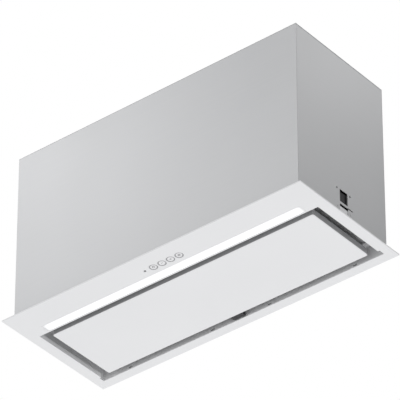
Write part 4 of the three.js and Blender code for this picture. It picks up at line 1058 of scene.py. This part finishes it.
gusset = cube_between("gusset", (DUCT_OUTER - 0.4 * MM, -GUSSET_HALF, base_z + SHEET - 0.2 * MM),
                      (DUCT_OUTER + GUSSET_REACH, GUSSET_HALF, GUSSET_TOP))
picked(gusset, "EDGE", lambda a, b: min(a.x, b.x) > DUCT_OUTER + 5 * MM and min(a.z, b.z) > GUSSET_TOP - MM)
bpy.ops.mesh.bevel(offset=GUSSET_SLOPE, segments=1, affect="EDGES")
bpy.ops.object.mode_set(mode="OBJECT")
bevelled(gusset, 0.2 * MM, 1)
gussets = copies(gusset, turns(DUCT_MIDDLE, GUSSETS, "Z"))
finished(joined([collar, *gussets]), "outlet_collar_wall", "hood", black_moulding,
         ["outlet_collar"])

seat_place = Vector((SCREW_CIRCLE, 0, base_z + SHEET))
screw_ring = [turn @ seat_place for turn in turns(DUCT_MIDDLE, COLLAR_SCREWS, "Z", 0.5)]
fastened(screw_model, "collar_screws", screw_ring, UP)
print(GUSSETS, "gussets and", COLLAR_SCREWS, "screws")

# %% Flaps
STRIPS_AT = (-26 * MM, -9 * MM, 9 * MM, 26 * MM)
STRIP_START = 12 * MM
STRIP_END = 52 * MM
STRIP_HALF = 0.6 * MM

for side, direction in (("front", -1), ("rear", 1)):
    node = f"flap_{side}"
    rounded(node, grey_moulding, 0.3 * MM, 2, node + "_leaf")
    near, far = sorted((DUCT_MIDDLE.y + direction * STRIP_START, DUCT_MIDDLE.y + direction * STRIP_END))
    strip = cube_between("strip", (-STRIP_HALF, near, PIN_Z + 0.4 * MM), (STRIP_HALF, far, PIN_Z + 1.6 * MM))
    bevelled(strip, 0.25 * MM, 2)
    strips = copies(strip, shifts([(x, 0, 0) for x in STRIPS_AT]))
    finished(joined(strips), node + "_strips", f"{side}_flap", grey_moulding)
print("flap leaves and strips done")

# %% [markdown]
# ## Cable gland
# The gland has a hexagonal body and a domed nut with fine grip ribs, and the hole for the cable goes
# right through. The nut is spun, and its ribs are thin bars copied round it, which keeps them all alike
# and leaves the nut's own curve smooth. Grooves cut into the nut would break that curve. The hood's
# lead is not part of this model.

# %% Cable gland body and nut
GLAND_MIDDLE = upright_axis("cable_gland")
gland_low, gland_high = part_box("cable_gland")
HEX_RADIUS = 11 * MM
HEX_HEIGHT = 5.5 * MM
HEX_HOLE_SHARE = 0.42
BORE = 4 * MM
THREAD = 8 * MM
NECK = 7.6 * MM
NUT_RADIUS = 9.6 * MM
DOME = 2.4 * MM
hex_base = lid_high.z + 0.1 * MM
hex_top = hex_base + HEX_HEIGHT

bpy.ops.mesh.primitive_cylinder_add(vertices=6, radius=HEX_RADIUS, depth=HEX_HEIGHT,
                                    location=GLAND_MIDDLE + UP * (hex_base + hex_top) / 2)
hexagon = bpy.context.object
bpy.ops.object.transform_apply(location=True, rotation=True, scale=True)
picked(hexagon, "FACE", lambda centre, normal: abs(normal.z) > 0.9)
bpy.ops.mesh.inset(thickness=HEX_RADIUS * HEX_HOLE_SHARE, depth=0)
bpy.ops.mesh.bridge_edge_loops()
bpy.ops.object.mode_set(mode="OBJECT")
bevelled(hexagon, 0.5 * MM, 2)
nut_profile = [(BORE, gland_low.z), (THREAD, gland_low.z), (THREAD, hex_base - 1.2 * MM), (NECK, hex_base),
               (NECK, hex_top - 0.3 * MM), (NUT_RADIUS, hex_top), (NUT_RADIUS, gland_high.z - DOME),
               *arc_points(NUT_RADIUS - DOME, gland_high.z - DOME, DOME, 0, 90, 5),
               (BORE + 0.6 * MM, gland_high.z), (BORE, gland_high.z - 0.7 * MM), (BORE, gland_low.z)]
nut = spun("nut", nut_profile, GLAND_MIDDLE, UP)
print("gland bore", round(2 * BORE / MM), "mm")

# %% Grip ribs
GRIPS = 24
GRIP_HALF = 0.35 * MM

grip = cube_between("grip", (NUT_RADIUS - 0.3 * MM, -GRIP_HALF, hex_top + 0.5 * MM),
                    (NUT_RADIUS + GRIP_HALF, GRIP_HALF, gland_high.z - DOME - 0.4 * MM))
bevelled(grip, 0.15 * MM, 1)
grips = copies(grip, turns(GLAND_MIDDLE, GRIPS, "Z"))
finished(joined([nut, hexagon, *grips]), "cable_gland_nut", "hood", black_moulding,
         ["cable_gland"])
print("gland", GRIPS, "grips")

# %% [markdown]
# ## Fan wheel, inlet and motor
# Behind the filters a drum fan turns in a snail housing. The wheel is a black moulding with thin
# blades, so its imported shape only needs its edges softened. The motor hangs in its bracket on the right
# of the housing: a can with cooling fins between two end shields, and four bolts with hexagonal heads
# in the outer one. One fin and one bolt are drawn and copied round.

# %% Fan wheel and inlet ring
AXIS = Vector((1, 0, 0))
LIP_WALL = 2 * MM
LIP_ROUND = 0.3 * MM
wheel_low, wheel_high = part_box("impeller")
FAN_MIDDLE = Vector((0, (wheel_low.y + wheel_high.y) / 2, (wheel_low.z + wheel_high.z) / 2))
rounded("impeller", black_moulding, 0.15 * MM, 1, "fan_wheel")

bell_low, bell_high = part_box("inlet_ring")
bell_radius = (bell_high.y - bell_low.y) / 2
throat = bell_radius - 6 * MM
wall = throat + LIP_WALL
mouth_x, seat_x = bell_low.x, bell_high.x
inlet_profile = [(throat, seat_x), (bell_radius, seat_x), (bell_radius, seat_x - 1.2 * MM),
                 (wall + 0.8 * MM, seat_x - 1.3 * MM), (wall, seat_x - 2 * MM), (wall, mouth_x + MM),
                 (wall - LIP_ROUND, mouth_x + LIP_ROUND), (throat + 0.5 * LIP_WALL, mouth_x),
                 (throat + LIP_ROUND, mouth_x + LIP_ROUND), (throat, mouth_x + MM), (throat, seat_x)]
finished(spun("inlet_bell", inlet_profile, FAN_MIDDLE, AXIS, 96), "inlet_bell", "hood",
         grey_moulding, ["inlet_ring"])
print("inlet throat", round(2 * throat / MM), "mm")

# %% Motor can
motor_low, motor_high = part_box("motor")
MOTOR_OUTER = (motor_high.y - motor_low.y) / 2
MOTOR_CAN = MOTOR_OUTER - 1.6 * MM
HUB_RADIUS = 26 * MM
HUB_EDGE = 2 * MM
SHAFT_HOLE = 4.2 * MM
SHAFT_DEPTH = 34 * MM
GROOVE = 1.4 * MM
SHIELD = 11 * MM
SHIELD_STEP = 0.6 * MM
face_x = motor_low.x
hub_x = motor_high.x
end_x = hub_x - 8 * MM

motor_profile = [(0, face_x + SHAFT_DEPTH), (SHAFT_HOLE, face_x + SHAFT_DEPTH), (SHAFT_HOLE, face_x),
                 (9 * MM, face_x), (11 * MM, face_x + GROOVE), (33 * MM, face_x + GROOVE), (35 * MM, face_x),
                 (MOTOR_OUTER - 2 * MM, face_x), (MOTOR_OUTER, face_x + 2 * MM),
                 (MOTOR_OUTER, face_x + SHIELD), (MOTOR_CAN, face_x + SHIELD + SHIELD_STEP),
                 (MOTOR_CAN, end_x - SHIELD - SHIELD_STEP), (MOTOR_OUTER, end_x - SHIELD),
                 (MOTOR_OUTER, end_x - 3 * MM), (MOTOR_OUTER - 0.9 * MM, end_x - 0.9 * MM),
                 (MOTOR_OUTER - 3 * MM, end_x), (HUB_RADIUS + 1.5 * MM, end_x),
                 (HUB_RADIUS, end_x + 1.5 * MM), (HUB_RADIUS, hub_x - HUB_EDGE),
                 (HUB_RADIUS - 0.6 * MM, hub_x - 0.6 * MM),
                 (HUB_RADIUS - HUB_EDGE, hub_x), (0, hub_x)]
can = spun("motor_can", motor_profile, FAN_MIDDLE, AXIS, 72)
print("motor", round(2 * MOTOR_OUTER / MM), "mm across")

# %% Fins and bolts of the motor
FINS = 36
FIN_HALF = 0.9 * MM
FIN_GAP = 1.5 * MM
BOLTS = 4
BOLT_CIRCLE = 32.5 * MM
BOLT_REACH = 2 * MM
WASHER = 4 * MM
HEAD = 3.2 * MM

fin = cube_between("fin", (face_x + SHIELD + FIN_GAP, -FIN_HALF, MOTOR_CAN - 0.5 * MM),
                   (end_x - SHIELD - FIN_GAP, FIN_HALF, MOTOR_OUTER - 0.2 * MM))
bevelled(fin, 0.35 * MM, 2)
fins = copies(fin, turns(FAN_MIDDLE, FINS, "X"))
finished(joined([can, *fins]), "motor_can", "hood", motor_lacquer, ["motor"])

bolt_profile = [(0, -BOLT_REACH), (2.6 * MM, -BOLT_REACH), (2.6 * MM, 0), (WASHER, 0), (WASHER, 0.6 * MM),
                (HEAD, 0.7 * MM), (HEAD, 2.7 * MM), (HEAD - 0.5 * MM, 3.1 * MM), (0, 3.1 * MM)]
bolt = spun("bolt", bolt_profile, UP * BOLT_CIRCLE, AXIS, 6)
bolts = copies(bolt, turns(FAN_MIDDLE + AXIS * end_x, BOLTS, "X", 0.5))
finished(joined(bolts), "motor_bolts", "hood", zinc_plate)
print(FINS, "fins and", BOLTS, "bolts")

# %% [markdown]
# ## Capacitor
# The motor's capacitor is a cream plastic can with a rolled top rim and two flat terminals underneath.
# It is spun from an outline, which gives the rim its curve. A thin steel band goes round it. The
# terminals are one blade that is copied, because they are the same stamped part.

# %% Capacitor can, terminals and band
CAN_MIDDLE = upright_axis("motor_capacitor")
can_low, can_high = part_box("motor_capacitor")
can_radius = (can_high.x - can_low.x) / 2
can_foot = can_low.z + 7 * MM
can_wall = can_radius - 0.3 * MM
FOOT_RECESS = 1.2 * MM
TERMINALS_AT = (-5 * MM, 5 * MM)
BLADE_HALF = Vector((0.4 * MM, 3.1 * MM, 0))
BAND_HALF = 5 * MM
BAND_Z = can_low.z + 30 * MM

can_profile = [(0, can_foot + FOOT_RECESS), (can_radius - 2.4 * MM, can_foot + FOOT_RECESS),
               (can_radius - 2 * MM, can_foot), (can_radius - 1.2 * MM, can_foot), (can_wall, can_foot + MM),
               (can_wall, can_high.z - 3 * MM), (can_radius, can_high.z - 2.4 * MM),
               *arc_points(can_radius - MM, can_high.z - MM, MM, 0, 90, 4),
               (can_radius - 3 * MM, can_high.z - 0.4 * MM), (0, can_high.z - 0.2 * MM)]
finished(spun("capacitor_can", can_profile, CAN_MIDDLE, UP), "capacitor_can", "hood",
         cream_moulding, ["motor_capacitor"])

blade = cube_between("blade", CAN_MIDDLE + UP * can_low.z - BLADE_HALF,
                     CAN_MIDDLE + UP * (can_foot + 2 * MM) + BLADE_HALF)
bevelled(blade, 0.25 * MM, 2)
blades = copies(blade, shifts([(x, 0, 0) for x in TERMINALS_AT]))
finished(joined(blades), "capacitor_blades", "hood", brass)

band_inner, band_outer = can_radius - 0.28 * MM, can_radius + 0.3 * MM
band_low, band_high = BAND_Z - BAND_HALF, BAND_Z + BAND_HALF
band_profile = [(band_inner, band_low), (band_outer, band_low), (band_outer, band_high),
                (band_inner, band_high), (band_inner, band_low)]
band = spun("capacitor_band", band_profile, CAN_MIDDLE, UP)
finished(band, "capacitor_band", "hood", zinc_plate)
print("capacitor", round(2 * can_radius / MM), "mm across")

# %% [markdown]
# ## Wiring box
# In the box under the lid sits a terminal block, where the mains lead is clamped under small brass
# screws. The driver that feeds the lamp is a moulded case: two shells with a fine gap between them,
# which reads as the seam of a real two-part case, and a core inside that closes the gap. A groove cut
# into one block would need more steps.

# %% Terminal block
POLES = 5
POLE_SCALE = Matrix.Scale(0.6, 4)
POLE_DEPTH = 6 * MM

rounded("terminal_block", cream_moulding, 0.35 * MM, 2, "terminal_block_body")
block_low, block_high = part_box("terminal_block")
pitch = (block_high.x - block_low.x) / POLES
pole_start = upright_axis("terminal_block") + UP * (block_high.z - POLE_DEPTH)
pole_places = [pole_start + AXIS * (i - (POLES - 1) / 2) * pitch for i in range(POLES)]
brass_screws = [moved_copy(screw_model, shift @ POLE_SCALE) for shift in shifts(pole_places)]
finished(joined(brass_screws), "terminal_screws", "hood", brass)
print(POLES, "poles")

# %% Lamp driver
SEAM_HEIGHT = 15 * MM
SEAM_GAP = 0.4 * MM
CORE_INSET = Vector((MM, MM, 2 * MM))
SHELL_RIM = 1.2 * MM
RIDGES = 9
RIDGE_PITCH = 5 * MM
RIDGE_START = 15 * MM
RIDGE_END = 8 * MM
RIDGE_HALF = 0.8 * MM
COVER_INSET = 7 * MM

driver_low, driver_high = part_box("lamp_driver")
seam_z = driver_low.z + SEAM_HEIGHT
lower = cube_between("lower_shell", driver_low, (driver_high.x, driver_high.y, seam_z))
upper = cube_between("upper_shell", (driver_low.x, driver_low.y, seam_z + SEAM_GAP), driver_high)
for shell in (lower, upper):
    bevelled(shell, SHELL_RIM)
core = cube_between("core", driver_low + CORE_INSET, driver_high - CORE_INSET)
ridge = cube_between("ridge", (-RIDGE_HALF, driver_low.y + RIDGE_END, driver_high.z - 0.3 * MM),
                     (RIDGE_HALF, driver_high.y - RIDGE_END, driver_high.z + 0.6 * MM))
bevelled(ridge, 0.25 * MM, 2)
ridge_places = [(driver_low.x + RIDGE_START + i * RIDGE_PITCH, 0, 0) for i in range(RIDGES)]
finished(joined([lower, upper, core, *copies(ridge, shifts(ridge_places))]), "driver_case", "hood",
         cream_moulding, ["lamp_driver"])

cover_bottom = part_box("wiring_box_cover")[0].z
fastened(screw_model, "cover_screws", corners("wiring_box_cover", COVER_INSET, cover_bottom), -UP)
print("driver with", RIDGES, "ridges, and the box's cover screwed on")

# %% [markdown]
# ## Circuit boards
# The lamp board carries a row of diodes, each a cream case with a yellow patch of phosphor that faces
# down. The control board carries a push switch above each button, and the few parts that a board like
# this needs around them. The diodes and switches are drawn once and copied along, since boards are made
# with identical components.

# %% Lamp board and diodes
BOARD_SHEET = 1.6 * MM
DIODES = 20


def board_sheet(node):
    """A circuit board's sheet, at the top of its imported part. Gives back the height of its underside."""
    low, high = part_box(node)
    underside = high.z - BOARD_SHEET
    sheet = cube_between(node, (low.x, low.y, underside), high)
    finished(bevelled(sheet, 0.12 * MM, 1), node + "_sheet", "hood", solder_mask, [node])
    return underside


board_low, board_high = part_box("lamp_board")
lamp_underside = board_sheet("lamp_board")
diode = cube_between("diode", (-2.5 * MM, -2 * MM, board_low.z),
                     (2.5 * MM, 2 * MM, lamp_underside + 0.1 * MM))
patch = cube_between("patch", (-1.7 * MM, -1.35 * MM, board_low.z - 0.05 * MM),
                     (1.7 * MM, 1.35 * MM, board_low.z + 0.3 * MM))
bevelled(diode, 0.2 * MM, 2)
bevelled(patch, 0.1 * MM, 2)
pitch = (board_high.x - board_low.x) / DIODES
row_y = upright_axis("lamp_board").y
row = shifts([(board_low.x + (i + 0.5) * pitch, row_y, 0) for i in range(DIODES)])
finished(joined(copies(diode, row)), "diode_cases", "hood", cream_moulding)
finished(joined(copies(patch, row)), "diode_patches", "hood", phosphor)
print(DIODES, "diodes")

# %% Control board and its switches
SWITCH_HALF = 3 * MM
STEM_RADIUS = 1.7 * MM
STEM_EDGE = 0.3 * MM

sheet_low, sheet_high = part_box("control_board")
control_underside = board_sheet("control_board")
buttons_y = upright_axis("control_board").y
switch_low = sheet_low.z
over_buttons = shifts([(middle.x, buttons_y, 0) for middle in middles])
switch = cube_between("switch", (-SWITCH_HALF, -SWITCH_HALF, switch_low + 0.7 * MM),
                      (SWITCH_HALF, SWITCH_HALF, control_underside + 0.1 * MM))
bevelled(switch, 0.3 * MM, 2)
stem_profile = [(0, switch_low), (STEM_RADIUS - STEM_EDGE, switch_low), (STEM_RADIUS, switch_low + STEM_EDGE),
                (STEM_RADIUS, switch_low + MM), (0, switch_low + MM)]
plunger = spun("plunger", stem_profile, HERE, UP, 20)
finished(joined(copies(switch, over_buttons)), "switch_bodies", "hood", black_moulding)
finished(joined(copies(plunger, over_buttons)), "switch_plungers", "hood", grey_moulding)
print(len(over_buttons), "switches")

# %% Chips on the control board
CHIP_HEIGHT = 1.1 * MM
CHIPS = ((-52, 7, 7, 4), (-30, 7.5, 5, 4), (-8, 7.5, 3, 1.6), (10, 7.5, 3, 1.6), (31, 7.5, 5, 3.5),
         (-30, -8, 3, 1.6), (8, -8, 3, 1.6), (30, -8, 2, 1.2), (49, 7, 4, 3))

chips = []
for x, y, wide, deep in CHIPS:
    place = Vector((x * MM, buttons_y + y * MM, sheet_high.z))
    half = Vector((wide * MM / 2, deep * MM / 2, 0))
    if sheet_low.x + 2 * half.x < place.x < sheet_high.x - 2 * half.x:
        chip = cube_between("chip", place - half - UP * 0.05 * MM, place + half + UP * CHIP_HEIGHT)
        chips.append(bevelled(chip, 0.2 * MM, 2))
finished(joined(chips), "board_chips", "hood", black_moulding)
print(len(chips), "chips")

# %% [markdown]
# ## Floor, and what was measured
# The floor is a very large pale sheet far below, as a studio sweep would be. It is lit by the same soft
# light and glows a little, which sends light back up at the white underside. It is staged, so it
# belongs to the picture and not to the hood. The two fastener models have done their work and are
# removed. The box round the whole hood is measured again and written out beside the one that was read
# at the start.

# %% Floor
FLOOR_Z = -11.0
FLOOR_HALF = 60.0
FLOOR_GLOW = 0.46

pale = finish("pale floor", ((0.82, 0.82, 0.82), (0.84, 0.84, 0.84)), (0.7, 0.8), 0.0, scale=4, bump=0.02,
              drift_scale=0.5)
shader = opened(pale)[1]
shader.inputs["Emission Color"].default_value = (1, 1, 1, 1)
shader.inputs["Emission Strength"].default_value = FLOOR_GLOW
only(camera)
bpy.ops.mesh.primitive_plane_add(size=2 * FLOOR_HALF, location=(0, 0, FLOOR_Z))
floor = bpy.context.object
floor.name = "floor"
only(floor)
bpy.ops.object.transform_apply(location=True, rotation=True, scale=True)
floor.data.materials.append(pale)
floor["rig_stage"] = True

for model in (screw_model, rivet_model):
    bpy.data.objects.remove(model)
print("floor at", FLOOR_Z, "m")

# %% Sizes
final_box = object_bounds()
for label, box in (("packed", cad_box), ("finished", final_box)):
    print(label, [round(1000 * v, 2) for corner in box for v in corner])
